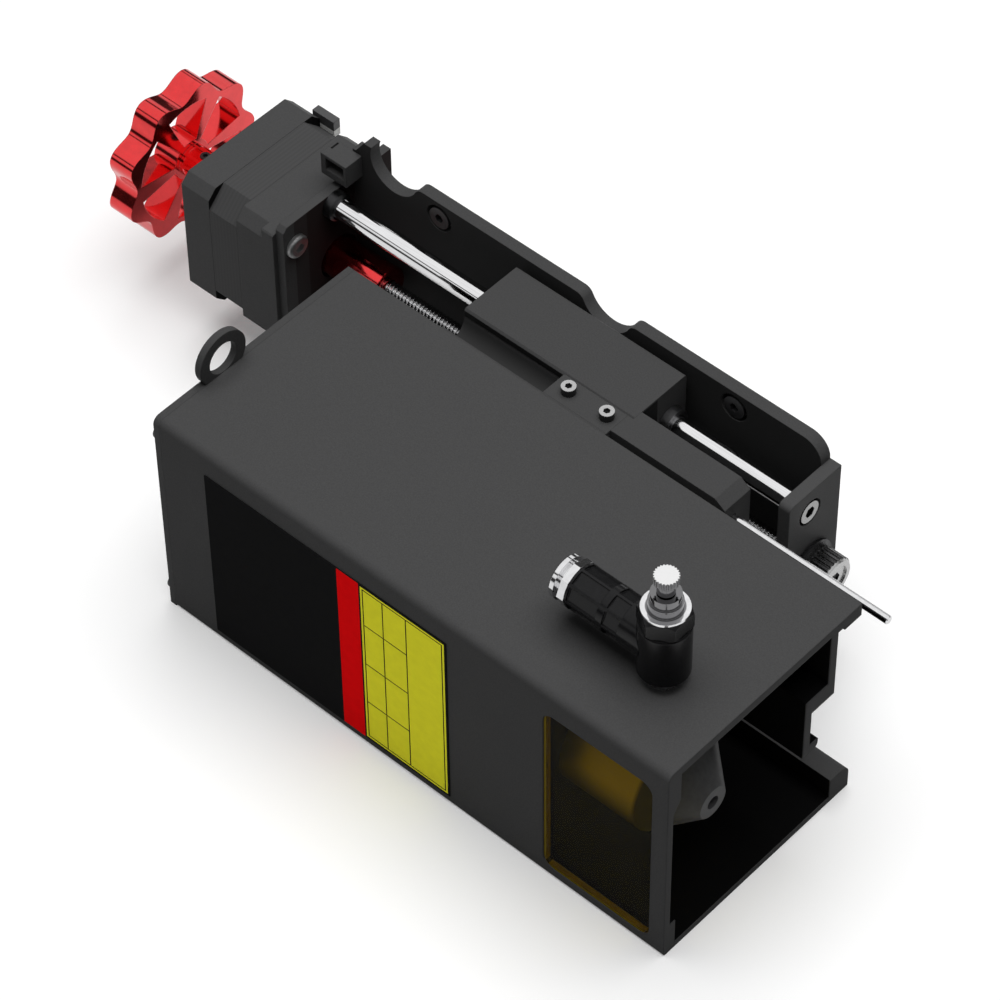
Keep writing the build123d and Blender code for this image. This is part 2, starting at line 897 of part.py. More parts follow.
def side_block_screws():
    """Bright cap screws standing on the side block."""
    screws = []
    for x, y in side_screw_places():
        top = carriage_top + side_screw_head_height
        head = rod_z(side_screw_head_r, x, y, (carriage_top, top))
        shank = rod_z(side_screw_r, x, y, (carriage_top - side_screw_length, carriage_top))
        socket = extrude(Plane((x, y, top - 0.9)) * RegularPolygon(0.8, 6), 0.9)
        screws.append(head + shank - socket)
    return group(screws)


def clamp_places():
    """Centres of the screws that hold the clamp bar, as X and Z."""
    stations = (side_block_rear + clamp_screw_inset, side_block_front - clamp_screw_inset)
    heights = (floor_z + clamp_screw_low, floor_z + clamp_screw_high)
    return [(x, z) for x in stations for z in heights]


def bracket_plate():
    """Thin plate between the side block and the clamp bar."""
    plate = block(
        (carriage_rear, side_block_front),
        (bracket_face, side_block_face),
        (carriage_top - bracket_height, carriage_top),
    )
    for x, z in clamp_places():
        plate = plate - rod_y(clamp_screw_r, x, (bracket_face, side_block_face), z)
    return plate


def clamp_bar():
    """Bar that hooks under the housing's lip and behind its foot rail."""
    lip_under = head_height - lip_thickness
    wall_face = head_width - upper_wall_inset + upper_wall
    rail_inner = head_width - rail_width
    outer = bracket_face - head_side
    points = [
        (rail_inner - bar_gap - bar_foot_length, floor_wall + bar_gap),
        (rail_inner - bar_gap, floor_wall + bar_gap),
        (rail_inner - bar_gap, rail_height + bar_gap),
        (outer, rail_height + bar_gap),
        (outer, lip_under - bar_gap),
        (wall_face + groove_width - bar_gap, lip_under - bar_gap),
        (wall_face + groove_width - bar_gap, lip_under + bar_hook),
        (wall_face + bar_gap, lip_under + bar_hook),
        (wall_face + bar_gap, bar_foot_top),
        (rail_inner - bar_gap - bar_foot_length, bar_foot_top),
    ]
    placed = [(head_side + y, floor_z + z) for y, z in points]
    bar = section_polygon(placed, carriage_rear + 3, side_block_front)
    face = head_side + wall_face + bar_gap
    for x, z in clamp_places():
        bar = bar - rod_y(clamp_screw_r, x, (face, bracket_face), z)
        bar = bar - rod_y(
            clamp_screw_head_r + 0.2, x, (face, face + clamp_screw_head_height), z)
    return bar


def clamp_screws():
    """Cap screws from the clamp bar into the side block."""
    face = head_side + head_width - upper_wall_inset + upper_wall + bar_gap
    seat = face + clamp_screw_head_height
    screws = []
    for x, z in clamp_places():
        head = rod_y(clamp_screw_head_r, x, (face + 0.2, seat), z)
        shank = rod_y(clamp_screw_r, x, (seat, side_block_face + clamp_screw_grip), z)
        screws.append(head + shank - hex_socket_y(1.45, x, (face + 0.2, face + 1.6), z))
    return group(screws)


# Laser head


def housing_points():
    """The extruded section, measured from the lower corner on the label side."""
    roof_under = head_height - top_wall
    wall_outer = head_width - upper_wall_inset + upper_wall
    wall_inner = wall_outer - upper_wall
    low_inner = head_width - lower_wall_inset
    low_outer = low_inner + lower_wall
    rail_inner = head_width - rail_width
    lip_under = head_height - lip_thickness
    groove_top = lip_under + groove_depth
    slope_end = head_height - high_boss_height
    return [
        (0, 0),
        (head_width, 0),
        (head_width, rail_height),
        (rail_inner, rail_height),
        (rail_inner, floor_wall),
        (low_boss_width, floor_wall),
        (low_boss_width, low_boss_height),
        (label_wall, low_boss_height),
        (label_wall, slope_end - high_boss_slope),
        (high_boss_width, slope_end),
        (high_boss_width, roof_under),
        (wall_inner, roof_under),
        (wall_inner, jog_height + jog_thickness),
        (low_inner, jog_height + jog_thickness),
        (low_inner, lower_wall_end),
        (low_outer + end_lip_reach, lower_wall_end),
        (low_outer + end_lip_reach, lower_wall_end + end_lip_thickness),
        (low_outer, lower_wall_end + end_lip_thickness),
        (low_outer, jog_height),
        (wall_outer, jog_height),
        (wall_outer, groove_top),
        (wall_outer + groove_width, groove_top),
        (wall_outer + groove_width, lip_under),
        (head_width, lip_under),
        (head_width, head_height),
        (0, head_height),
    ]


def housing_section():
    """Section face with its rounded edges."""
    face = make_face(Polyline(*housing_points(), close=True))

    def near(y, z):
        return min(face.vertices(), key=lambda v: abs(v.X - y) + abs(v.Y - z))

    face = fillet([near(0, head_height)], edge_round)
    face = fillet([near(head_width, rail_height)], rail_round)
    low_outer = head_width - lower_wall_inset + lower_wall
    lip_end = [near(low_outer + end_lip_reach, lower_wall_end)]
    face = fillet(lip_end, end_lip_thickness * 0.6)
    return fillet([near(0, 0)], 0.8)


def head_plane(x):
    """The section's own plane at a station along X."""
    return Plane((x, head_side, floor_z), x_dir=(0, 1, 0), z_dir=(1, 0, 0))


def housing():
    """Extruded housing, open at the front, with its window, air hole and screw holes."""
    body = extrude(head_plane(section_rear) * housing_section(), head_front - section_rear)
    opening = Rectangle(pane_length, pane_height)
    opening = fillet(opening.vertices(), pane_corner)
    at_window = Plane(
        (pane_front - pane_length / 2, head_side, floor_z + pane_above_floor + pane_height / 2),
        x_dir=(1, 0, 0), z_dir=(0, 1, 0))
    body = body - extrude(at_window * opening, high_boss_width + 0.5)
    body = body - rod_z(fitting_stem_r, fitting_x, fitting_y, (roof_z - top_wall, roof_z))
    for y, z in cover_screw_places():
        body = body - rod_x(
            cover_screw_r, (section_rear, section_rear + cover_screw_length), y, z)
    return body


def window_pane():
    """Tinted pane in the housing's window."""
    fit = 0.05
    face = Rectangle(pane_length - 2 * fit, pane_height - 2 * fit)
    face = fillet(face.vertices(), pane_corner - fit)
    plane = Plane(
        (pane_front - pane_length / 2, head_side + pane_recess,
         floor_z + pane_above_floor + pane_height / 2),
        x_dir=(1, 0, 0), z_dir=(0, 1, 0))
    return extrude(plane * face, label_wall)


def label_panel():
    """Thin printed panel on the label side."""
    return block(
        (label_rear, label_rear + label_length),
        (head_side - label_thickness, head_side),
        (floor_z + label_above_floor, floor_z + label_above_floor + label_height),
    )


def cover_screw_places():
    """Centres of the rear cover's screws, in the section's solid spots."""
    places = [
        (high_boss_width / 2, head_height - high_boss_height + cover_screw_rise),
        (low_boss_width / 2 + 0.1, low_boss_height / 2 + 0.5),
        (head_width - upper_wall_inset - lower_wall, jog_height + jog_thickness / 2),
        (head_width - rail_width / 2, rail_height / 2),
    ]
    return [(head_side + y, floor_z + z) for y, z in places]


def fan_centre():
    """Y and Z of the fan's axis."""
    return (beam_y + 3.5, floor_z + fan_above_floor + fan_side / 2)


def rear_cover():
    """Flat cover on the rear end, with a ring lug, a fan grille and a socket hole."""
    wall_outer = head_width - upper_wall_inset + upper_wall
    low_outer = head_width - lower_wall_inset + lower_wall
    outline = make_face(Polyline(
        (0, 0), (head_width, 0), (head_width, rail_height), (low_outer, rail_height),
        (low_outer, jog_height), (wall_outer, jog_height),
        (wall_outer, head_height - lip_thickness), (head_width, head_height - lip_thickness),
        (head_width, head_height), (0, head_height), close=True))
    top_corner = min(outline.vertices(), key=lambda v: abs(v.X) + abs(v.Y - head_height))
    outline = fillet([top_corner], edge_round)
    outline = outline + Pos(lug_from_face, head_height + lug_rise) * Circle(lug_r)
    outline = outline - Pos(lug_from_face, head_height + lug_rise) * Circle(lug_hole_r)
    cover = extrude(head_plane(head_rear) * outline, cover_thickness)
    span = (head_rear, section_rear)
    for y, z in cover_screw_places():
        cover = cover - rod_x(cover_screw_r, span, y, z)
    fan_y, fan_z = fan_centre()
    for index in range(grille_slots):
        offset = (index - (grille_slots - 1) / 2) * grille_slot_pitch
        half = sqrt((fan_hole_r - 1.5) ** 2 - offset ** 2)
        slot = block(
            span, (fan_y - half, fan_y + half),
            (fan_z + offset - grille_slot_width / 2, fan_z + offset + grille_slot_width / 2))
        cover = cover - fillet(slot.edges().filter_by(Axis.X), grille_slot_width * 0.4)
    for y, z in fan_screw_places():
        cover = cover - rod_x(fan_screw_r, span, y, z)
    return cover - power_socket_body()


def rear_cover_screws():
    """Pan-head screws of the rear cover."""
    screws = []
    for y, z in cover_screw_places():
        head = rod_x(cover_screw_head_r, (head_rear - cover_screw_head_height, head_rear), y, z)
        head = fillet(head.edges().group_by(Axis.X)[0], cover_screw_head_height * 0.5)
        shank = rod_x(cover_screw_r, (head_rear, section_rear + cover_screw_length), y, z)
        screws.append(head + shank)
    return group(screws)


def power_socket_body():
    """Outer block of the power header, set through the rear cover."""
    y = (head_side + power_socket_y, head_side + power_socket_y + power_socket_length)
    z_top = roof_z - power_socket_below_top
    z = (z_top - socket_cavity - 2 * socket_wall, z_top)
    x = (head_rear - power_socket_proud, head_rear - power_socket_proud + power_socket_depth)
    return block(x, y, z)


def power_socket():
    """Header that takes the power cable, open to the rear."""
    body = power_socket_body()
    box = body.bounding_box()
    cavity = block(
        (box.min.X, box.max.X - socket_wall),
        (box.min.Y + socket_wall, box.max.Y - socket_wall),
        (box.min.Z + socket_wall, box.max.Z - socket_wall),
    )
    half = socket_pin_side / 2
    middle = box.center()
    pins = []
    for index in range(socket_pins):
        y = middle.Y + (index - (socket_pins - 1) / 2) * socket_pin_pitch
        pins.append(block(
            (box.min.X + 1.2, box.max.X - socket_wall),
            (y - half, y + half), (middle.Z - half, middle.Z + half)))
    return join([body - cavity] + pins)


def laser_block():
    """Aluminium block that holds the diodes, the beam chamber and the lens."""
    x = (block_rear, nozzle_rear)
    body = block(
        x, (block_side, block_side + block_width), (floor_z + floor_wall, floor_z + block_top))
    chamber_front = nozzle_rear - lens_thickness - 3.0
    chamber_rear = chamber_front - chamber_length
    body = body - rod_x(chamber_r, (chamber_rear, chamber_front), beam_y, beam_z)
    body = body - rod_x(beam_bore_r, (chamber_front, nozzle_rear), beam_y, beam_z)
    body = body - rod_x(lens_r, (nozzle_rear - lens_thickness, nozzle_rear), beam_y, beam_z)
    for y, z in diode_places():
        body = body - rod_x(diode_r, (block_rear, chamber_rear), y, z)
    return body


def diode_places():
    """Centres of the four diode cans about the beam axis."""
    return [(beam_y + y, beam_z + z) for y in mirrored(diode_offset) for z in mirrored(diode_offset)]


def laser_diodes():
    """Four diode cans seated in the rear of the laser block."""
    cans = []
    for y, z in diode_places():
        flange = rod_x(diode_r, (block_rear, block_rear + 1.2), y, z)
        cap = rod_x(diode_r - 1.2, (block_rear + 1.2, block_rear + diode_length), y, z)
        cans.append(flange + cap)
    return group(cans)


def focus_lens():
    """Lens in its seat at the front of the laser block."""
    x = (nozzle_rear - lens_thickness, nozzle_rear)
    disc = rod_x(lens_r, x, beam_y, beam_z)
    ball_r = (lens_r ** 2 + 1.2 ** 2) / (2 * 1.2)
    ball = Pos(nozzle_rear - ball_r, beam_y, beam_z) * Sphere(ball_r)
    return disc & ball


def nozzle():
    """Turned nozzle: a wide barrel that narrows in a cone to the beam hole."""
    inner_r = nozzle_tip_r - 1.0
    outline = make_face(Polyline(
        (0, nozzle_bore_r), (0, nozzle_r), (nozzle_cylinder, nozzle_r),
        (nozzle_cylinder + nozzle_cone, nozzle_tip_r), (nozzle_cylinder + nozzle_cone, nozzle_hole_r),
        (nozzle_cylinder + nozzle_cone - 2.0, nozzle_hole_r),
        (nozzle_cylinder + nozzle_cone - 2.0, inner_r),
        (nozzle_cylinder - 2.0, nozzle_bore_r), close=True))
    section = Plane((nozzle_rear, beam_y, beam_z), x_dir=(1, 0, 0), z_dir=(0, -1, 0)) * outline
    body = revolve(section, Axis((nozzle_rear, beam_y, beam_z), (1, 0, 0)), 360)
    return body - rod_z(fitting_bore_r, fitting_x, fitting_y, (beam_z, beam_z + nozzle_r))


def air_post():
    """Post that leads the air from the fitting down to the nozzle."""
    low = beam_z + nozzle_bore_r + 1.0
    post = rod_z(fitting_stem_r + 2.0, fitting_x, fitting_y, (low, roof_z - top_wall))
    post = post - nozzle()
    post = post - rod_z(fitting_bore_r, fitting_x, fitting_y, (beam_z, roof_z))
    return post - rod_z(
        fitting_stem_r, fitting_x, fitting_y, (roof_z - top_wall - fitting_stem_depth, roof_z))


def heat_sink():
    """Finned heat sink behind the laser block, its fins along the air flow."""
    x = (sink_rear, block_rear)
    z_base = floor_z + floor_wall
    sink = block(x, (block_side, block_side + block_width), (z_base, z_base + sink_base))
    pitch = (block_width - sink_fin_thickness) / (sink_fins - 1)
    for index in range(sink_fins):
        y = block_side + index * pitch
        outer = index in (0, sink_fins - 1)
        top = floor_z + (block_top if outer else sink_fin_top)
        sink = sink + block(x, (y, y + sink_fin_thickness), (z_base, top))
    return sink


def driver_board():
    """Circuit board lying on the laser block and the heat sink's outer fins."""
    low = floor_z + block_top
    middle_y = block_side + block_width / 2
    x = (nozzle_rear - board_inset - board_length, nozzle_rear - board_inset)
    y = (block_side, block_side + block_width)
    board = block(x, y, (low, low + board_thickness))
    sizes = (
        (0.15, controller_side, controller_side, coil_side - 1),
        (0.32, coil_side, coil_side, coil_side),
        (0.5, controller_side * 1.2, controller_side * 0.9, coil_side / 2),
        (0.72, controller_side * 1.5, controller_side * 1.3, coil_side / 3),
    )
    parts = [board]
    for index, (along, length, width, height) in enumerate(sizes):
        at_x = x[0] + along * board_length
        at_y = middle_y + (board_part_offset if index % 2 else -board_part_offset)
        parts.append(block(
            (at_x - length / 2, at_x + length / 2), (at_y - width / 2, at_y + width / 2),
            (low + board_thickness - 0.2, low + board_thickness + height)))
    return join(parts)


def fan_screw_places():
    """Four screws at the fan's corners."""
    y, z = fan_centre()
    return [(y + a, z + b) for a in mirrored(fan_screw_offset) for b in mirrored(fan_screw_offset)]


def fan_frame():
    """Square fan frame with a motor seat on four struts."""
    y, z = fan_centre()
    x = (section_rear, section_rear + fan_depth)
    half = fan_side / 2
    frame = block(x, (y - half, y + half), (z - half, z + half))
    frame = fillet(frame.edges().filter_by(Axis.X), 2.0)
    frame = frame - rod_x(fan_hole_r, x, y, z)
    base = (x[1] - fan_base, x[1])
    frame = frame + rod_x(fan_hub_r, base, y, z)
    frame = frame + block(base, (y - fan_hole_r - 0.5, y + fan_hole_r + 0.5), (z - 1.0, z + 1.0))
    frame = frame + block(base, (y - 1.0, y + 1.0), (z - fan_hole_r - 0.5, z + fan_hole_r + 0.5))
    frame = frame - rod_x(fan_pin_r + running_gap, base, y, z)
    for a, b in fan_screw_places():
        frame = frame - rod_x(fan_screw_r, x, a, b)
    return frame


def fan_screws():
    """Screws that hold the fan on the rear cover."""
    screws = []
    for y, z in fan_screw_places():
        head = rod_x(2.2, (head_rear - 1.2, head_rear), y, z)
        screws.append(head + rod_x(fan_screw_r, (head_rear, section_rear + fan_depth - 1), y, z))
    return group(screws)


def fan_rotor():
    """Fan hub with its blades and its pin."""
    y, z = fan_centre()
    x = (section_rear + 1.0, section_rear + fan_depth - fan_base - 0.5)
    rotor = rod_x(fan_hub_r, x, y, z)
    middle = (x[0] + x[1]) / 2
    for index in range(fan_blades):
        long_blade = block(
            (-4.2, 4.2), (fan_hub_r - 0.8, fan_hole_r - fan_blade_gap), (-0.5, 0.5))
        tilted = Rot(0, 32, 0) * long_blade
        tilted = Rot(index * 360 / fan_blades, 0, 0) * tilted
        rotor = rotor + Pos(middle, y, z) * tilted
    rotor = rotor & rod_x(fan_hole_r - fan_blade_gap, x, y, z)
    return rotor + rod_x(fan_pin_r, (x[1], section_rear + fan_depth - 0.3), y, z)


# Air fitting


def fitting_stem():
    """Threaded stem with its low octagonal seat on the roof."""
    seat_top = roof_z + fitting_base_height
    seat = extrude(Plane((fitting_x, fitting_y, roof_z)) * RegularPolygon(
        fitting_base_r, 8), fitting_base_height)
    stem = rod_z(fitting_stem_r, fitting_x, fitting_y, (roof_z - top_wall - fitting_stem_depth, roof_z))
    return seat + stem - rod_z(
        fitting_bore_r, fitting_x, fitting_y, (roof_z - top_wall - fitting_stem_depth, seat_top))


def fitting_outline():
    """Outside of the valve body: round below, a chamfered hexagon on top."""
    low = roof_z + fitting_base_height
    shoulder = low + fitting_round_height
    top = shoulder + fitting_hex_height
    lower = rod_z(fitting_body_r, fitting_x, fitting_y, (low, shoulder))
    lower = chamfer(lower.edges().group_by(Axis.Z)[0], 0.8)
    hexagon = Plane((fitting_x, fitting_y, shoulder)) * Rot(0, 0, 30) * RegularPolygon(
        fitting_hex_r, 6)
    upper = extrude(hexagon, fitting_hex_height)
    cone = Pos(fitting_x, fitting_y, top - fitting_hex_height / 2) * Cylinder(
        fitting_hex_r, fitting_hex_height)
    cone = chamfer(cone.edges().filter_by(GeomType.CIRCLE), fitting_hex_chamfer)
    return lower + (upper & cone)


def fitting_body():
    """Valve body, bored for the air and for the valve screw."""
    top = valve_top()
    low = roof_z + fitting_base_height
    return fitting_outline() - rod_z(
        valve_stem_r + running_gap, fitting_x, fitting_y, (top - valve_stem_length, top)
    ) - rod_z(fitting_bore_r, fitting_x, fitting_y, (low, top))


def barrel_start():
    """Where the barrel's inner end meets the round body."""
    return fitting_x - fitting_body_r


def fitting_barrel():
    """Barrel that takes the air tube: faceted, with two rows of sunk panels."""
    front = fitting_x
    rear = barrel_end + end_ring_length
    barrel = rod_x(barrel_r, (rear, front), fitting_y, barrel_z)
    shoulder = barrel_start() - barrel_collar_length
    panels = (
        (rear + 0.6, rear + 0.6 + barrel_long_panel),
        (rear + 0.6 + barrel_long_panel + barrel_waist, shoulder),
    )
    for index in range(8):
        angle = 22.5 + index * 45
        for span in panels:
            cut = block(
                span,
                (barrel_r * cos(radians(22.5)) - barrel_panel_depth + 0.25, barrel_r + 1),
                mirrored(barrel_r * sin(radians(22.5)) * 0.82),
            )
            barrel = barrel - Pos(0, fitting_y, barrel_z) * Rot(angle, 0, 0) * cut
    barrel = barrel - fitting_outline()
    bore_end = rear + collet_length + collet_travel
    barrel = barrel - rod_x(collet_r + running_gap, (rear, bore_end), fitting_y, barrel_z)
    return barrel - rod_x(fitting_bore_r, (bore_end, front), fitting_y, barrel_z)


def barrel_end_ring():
    """Bright ring round the mouth of the barrel."""
    span = (barrel_end, barrel_end + end_ring_length)
    face = Plane((barrel_end, fitting_y, barrel_z), x_dir=(0, 1, 0), z_dir=(1, 0, 0))
    ring = extrude(face * RegularPolygon(end_ring_r, 8), end_ring_length)
    return ring - rod_x(collet_r + running_gap, span, fitting_y, barrel_z)


def release_collet():
    """Collet that grips the tube; pushed in, it lets the tube go."""
    flange_front = barrel_end - collet_travel - 0.2
    flange = rod_x(
        collet_flange_r, (flange_front - collet_flange_length, flange_front), fitting_y, barrel_z)
    flange = chamfer(flange.edges().group_by(Axis.X)[0], 0.5)
    sleeve_end = barrel_end + end_ring_length + collet_length - 1.0
    sleeve = rod_x(collet_r, (flange_front, sleeve_end), fitting_y, barrel_z)
    collet = flange + sleeve
    return collet - rod_x(
        tube_r, (flange_front - collet_flange_length, sleeve_end), fitting_y, barrel_z)


def valve_top():
    """Height of the valve body's top face."""
    return roof_z + fitting_base_height + fitting_round_height + fitting_hex_height


def valve_collar():
    """Bright stepped collar on top of the valve body."""
    low = valve_top()
    steps = (
        (flange_r, flange_height), (collar_low_r, collar_low_height),
        (collar_high_r, collar_high_height),
    )
    parts = []
    for radius, height in steps:
        parts.append(rod_z(radius, fitting_x, fitting_y, (low, low + height)))
        low += height
    collar = join(parts)
    return collar - rod_z(
        valve_stem_r + running_gap, fitting_x, fitting_y, (valve_top(), low))


def valve_screw():
    """Needle valve screw with a ridged head."""
    low = valve_top() + flange_height + collar_low_height + collar_high_height + axial_gap
    neck = rod_z(valve_neck_r, fitting_x, fitting_y, (low, low + valve_neck_height))
    head_low = low + valve_neck_height
    head = rod_z(valve_head_r, fitting_x, fitting_y, (head_low, head_low + valve_head_height))
    for index in range(valve_ridges):
        angle = 2 * pi * index / valve_ridges
        head = head - rod_z(
            0.22, fitting_x + valve_head_r * cos(angle), fitting_y + valve_head_r * sin(angle),
            (head_low, head_low + valve_head_height))
    stem = rod_z(
        valve_stem_r, fitting_x, fitting_y, (valve_top() - valve_stem_length + 1.0, low))
    return stem + neck + head


# Probe


def probe_axis():
    """Y and Z of the probe rod."""
    face = side_block_face + probe_setback
    return (face + probe_from_face, carriage_top - probe_from_top)


def probe_housing():
    """Block beside the head that guides the probe rod, with a sloped nose."""
    face = side_block_face + probe_setback
    rear = side_block_front
    front = rear + probe_length
    low = carriage_top - probe_height
    outline = make_face(Polyline(
        (rear, low), (front + probe_nose, low), (front + probe_nose, carriage_top - probe_nose_drop),
        (front, carriage_top), (rear, carriage_top), close=True))
    body = Pos(0, face + probe_depth, 0) * extrude(Plane.XZ * outline, probe_depth)
    body = body - block(
        (rear, carriage_front), (carriage_face, 0), (carriage_top - probe_height, carriage_top))
    y, z = probe_axis()
    return body - rod_x(probe_r + running_gap, (rear + 1.2, front + probe_nose), y, z)


def probe_rod():
    """Bright rod that slides in the probe housing."""
    y, z = probe_axis()
    front = side_block_front + probe_length + probe_nose
    rod = rod_x(probe_r, (front - probe_hold, probe_reach), y, z)
    return chamfer(rod.edges().group_by(Axis.X)[-1], 0.2)


def build():
    """Every piece of the module by its name."""
    return {
        "base_plate": base_plate(),
        "mounting_screws": mounting_screws(),
        "motor_mount_plate": motor_mount_plate(),
        "motor_front_cap": motor_front_cap(),
        "motor_stator": motor_stator(),
        "motor_rear_cap": motor_rear_cap(),
        "motor_tie_screws": motor_tie_screws(),
        "motor_face_screws": motor_face_screws(),
        "motor_bearings": motor_bearings(),
        "motor_connector": motor_connector(),
        "cable_socket": cable_socket(),
        "cable_socket_pins": cable_socket_pins(),
        "upper_guide_shaft": guide_shaft(shaft_offset_z),
        "lower_guide_shaft": guide_shaft(-shaft_offset_z),
        "shaft_collars": shaft_collars(),
        "front_end_plate": front_end_plate(),
        "shaft_screws": shaft_screws(),
        "screw_bearing": screw_bearing(),
        "knob": knob(),
        "knob_set_screw": knob_set_screw(),
        "motor_shaft": motor_shaft(),
        "motor_rotor": motor_rotor(),
        "shaft_coupling": shaft_coupling(),
        "coupling_set_screws": coupling_set_screws(),
        "lead_screw": lead_screw(),
        "end_washer": end_washer(),
        "end_nut": end_nut(),
        "carriage_block": carriage_block(),
        "guide_bushings": guide_bushings(),
        "lead_nut": lead_nut(),
        "side_block": side_block(),
        "side_block_screws": side_block_screws(),
        "bracket_plate": bracket_plate(),
        "clamp_bar": clamp_bar(),
        "clamp_screws": clamp_screws(),
        "housing": housing(),
        "window_pane": window_pane(),
        "label_panel": label_panel(),
        "rear_cover": rear_cover(),
        "rear_cover_screws": rear_cover_screws(),
        "power_socket": power_socket(),
        "laser_block": laser_block(),
        "laser_diodes": laser_diodes(),
        "focus_lens": focus_lens(),
        "nozzle": nozzle(),
        "air_post": air_post(),
        "heat_sink": heat_sink(),
        "driver_board": driver_board(),
        "fan_frame": fan_frame(),
        "fan_screws": fan_screws(),
        "fan_rotor": fan_rotor(),
        "fitting_stem": fitting_stem(),
        "fitting_body": fitting_body(),
        "fitting_barrel": fitting_barrel(),
        "barrel_end_ring": barrel_end_ring(),
        "release_collet": release_collet(),
        "valve_collar": valve_collar(),
        "valve_screw": valve_screw(),
        "probe_housing": probe_housing(),
        "probe_rod": probe_rod(),
    }


os.makedirs("parts", exist_ok=True)
for name, shape in build().items():
    export_step(shape, f"parts/{name}.step")
    print(name, round(shape.volume, 1))
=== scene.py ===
from math import cos, radians, sin, tau

import bpy
from mathutils import Matrix, Vector


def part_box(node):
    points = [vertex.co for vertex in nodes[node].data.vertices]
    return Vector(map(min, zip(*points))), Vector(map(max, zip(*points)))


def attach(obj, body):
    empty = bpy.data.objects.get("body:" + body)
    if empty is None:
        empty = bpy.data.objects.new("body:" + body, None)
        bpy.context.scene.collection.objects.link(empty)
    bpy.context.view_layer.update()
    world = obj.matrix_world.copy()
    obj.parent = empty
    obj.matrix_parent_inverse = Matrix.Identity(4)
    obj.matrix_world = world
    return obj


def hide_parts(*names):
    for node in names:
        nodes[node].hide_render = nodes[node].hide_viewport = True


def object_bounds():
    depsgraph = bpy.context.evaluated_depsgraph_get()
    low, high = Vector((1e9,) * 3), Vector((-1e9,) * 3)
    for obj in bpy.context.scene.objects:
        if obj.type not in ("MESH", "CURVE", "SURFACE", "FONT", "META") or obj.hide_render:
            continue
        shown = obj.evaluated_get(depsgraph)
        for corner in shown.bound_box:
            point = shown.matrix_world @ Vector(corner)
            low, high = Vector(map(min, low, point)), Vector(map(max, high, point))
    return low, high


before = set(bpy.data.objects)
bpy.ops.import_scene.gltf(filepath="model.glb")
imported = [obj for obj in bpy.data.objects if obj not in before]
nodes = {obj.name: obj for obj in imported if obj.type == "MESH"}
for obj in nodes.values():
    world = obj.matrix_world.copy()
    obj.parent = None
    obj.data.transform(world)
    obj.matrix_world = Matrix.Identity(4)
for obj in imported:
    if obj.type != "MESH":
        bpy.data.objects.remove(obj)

cad_box = [list(corner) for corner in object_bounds()]
MM = 0.001
X, Y, Z = 0, 1, 2
mix_first, mix_second, mix_result = 6, 7, 2  # colour sockets of the Mix node

# Camera, from the fit to the photograph: the place in millimetres, the angles in degrees, the
# focal length in pixels of the photograph
camera_place = (420.481, -484.943, 690.766)
camera_azimuth = -47.273
camera_elevation = 48.661
camera_roll = -0.730
camera_focal = 4372.781
frame_pixels = 1000
sensor_width = 36

# Thread of the lead screw, in millimetres. Its height, from root (0) to crest (1), is the land less
# the slope times the distance from the crest's middle in pitches, cut off at 0 and 1.
thread_crest_r = 2.0
thread_root_r = 1.55
thread_pitch = 1.0
thread_starts = 2
thread_land = 1.6
thread_slope = 4.4
thread_steps = 24
thread_rings_per_pitch = 8
thread_run_out = 0.8

# Printed label, in millimetres; the spans and rules are places along X
label_edge = 0.5
label_frame = 1.0
label_rule = 0.3
label_red_span = (8.4, 14.5)
label_yellow_start = 14.95
label_first_rule = 20.9
label_second_rule = 27.3
label_rows = 4

# Floor, light and background; lengths in metres
floor_half = 3.0
floor_tone = 0.62
floor_glow = 0.20
floor_fade = (0.10, 0.60)
floor_centre = (0.0, -0.04)
glossy_share = 0.5
ambient_level = 0.12
lamp_place = (0.0, 0.05, 1.30)
lamp_target = (0, -0.04, 0)
lamp_size = 1.3
lamp_power = 23
# Brightness of the surroundings in reflections, from the horizon (0) to straight up (1)
studio_levels = (
    (0.0, 0.30), (0.02, 0.03), (0.24, 0.05), (0.30, 0.85), (0.50, 1.0), (0.54, 0.06),
    (0.60, 0.06), (0.64, 1.0))


# Camera at the photograph's viewing angle

def make_camera():
    azimuth, elevation, roll = (
        radians(angle) for angle in (camera_azimuth, camera_elevation, camera_roll))
    back = Vector((cos(elevation) * cos(azimuth), cos(elevation) * sin(azimuth), sin(elevation)))
    right = Vector((-sin(azimuth), cos(azimuth), 0))
    up = back.cross(right)
    right, up = right * cos(roll) + up * sin(roll), up * cos(roll) - right * sin(roll)
    turn = Matrix((right, up, back)).transposed().to_4x4()
    data = bpy.data.cameras.new("camera")
    data.sensor_width = sensor_width
    data.lens = camera_focal / frame_pixels * sensor_width
    data.clip_start = 0.05
    data.clip_end = 20
    camera = bpy.data.objects.new("camera", data)
    bpy.context.scene.collection.objects.link(camera)
    camera.matrix_world = Matrix.Translation(Vector(camera_place) * MM) @ turn
    bpy.context.scene.camera = camera


make_camera()


# Materials

def new_material(name):
    material = bpy.data.materials.new(name)
    material.use_nodes = True
    tree = material.node_tree
    shader = tree.nodes["Principled BSDF"]
    return material, tree, shader


def link(tree, source, target):
    tree.links.new(source, target)


def local_position(tree):
    return tree.nodes.new("ShaderNodeTexCoord").outputs["Object"]


def coordinates(tree):
    """The three coordinates of a point in the object's own frame, in metres."""
    parts = tree.nodes.new("ShaderNodeSeparateXYZ")
    link(tree, local_position(tree), parts.inputs[0])
    return parts.outputs


def combine(tree, operation, first, second):
    """One operation on two values, each a socket or a plain number."""
    node = tree.nodes.new("ShaderNodeMath")
    node.operation = operation
    for socket, value in zip(node.inputs, (first, second)):
        if isinstance(value, (int, float)):
            socket.default_value = value
        else:
            link(tree, value, socket)
    return node.outputs[0]


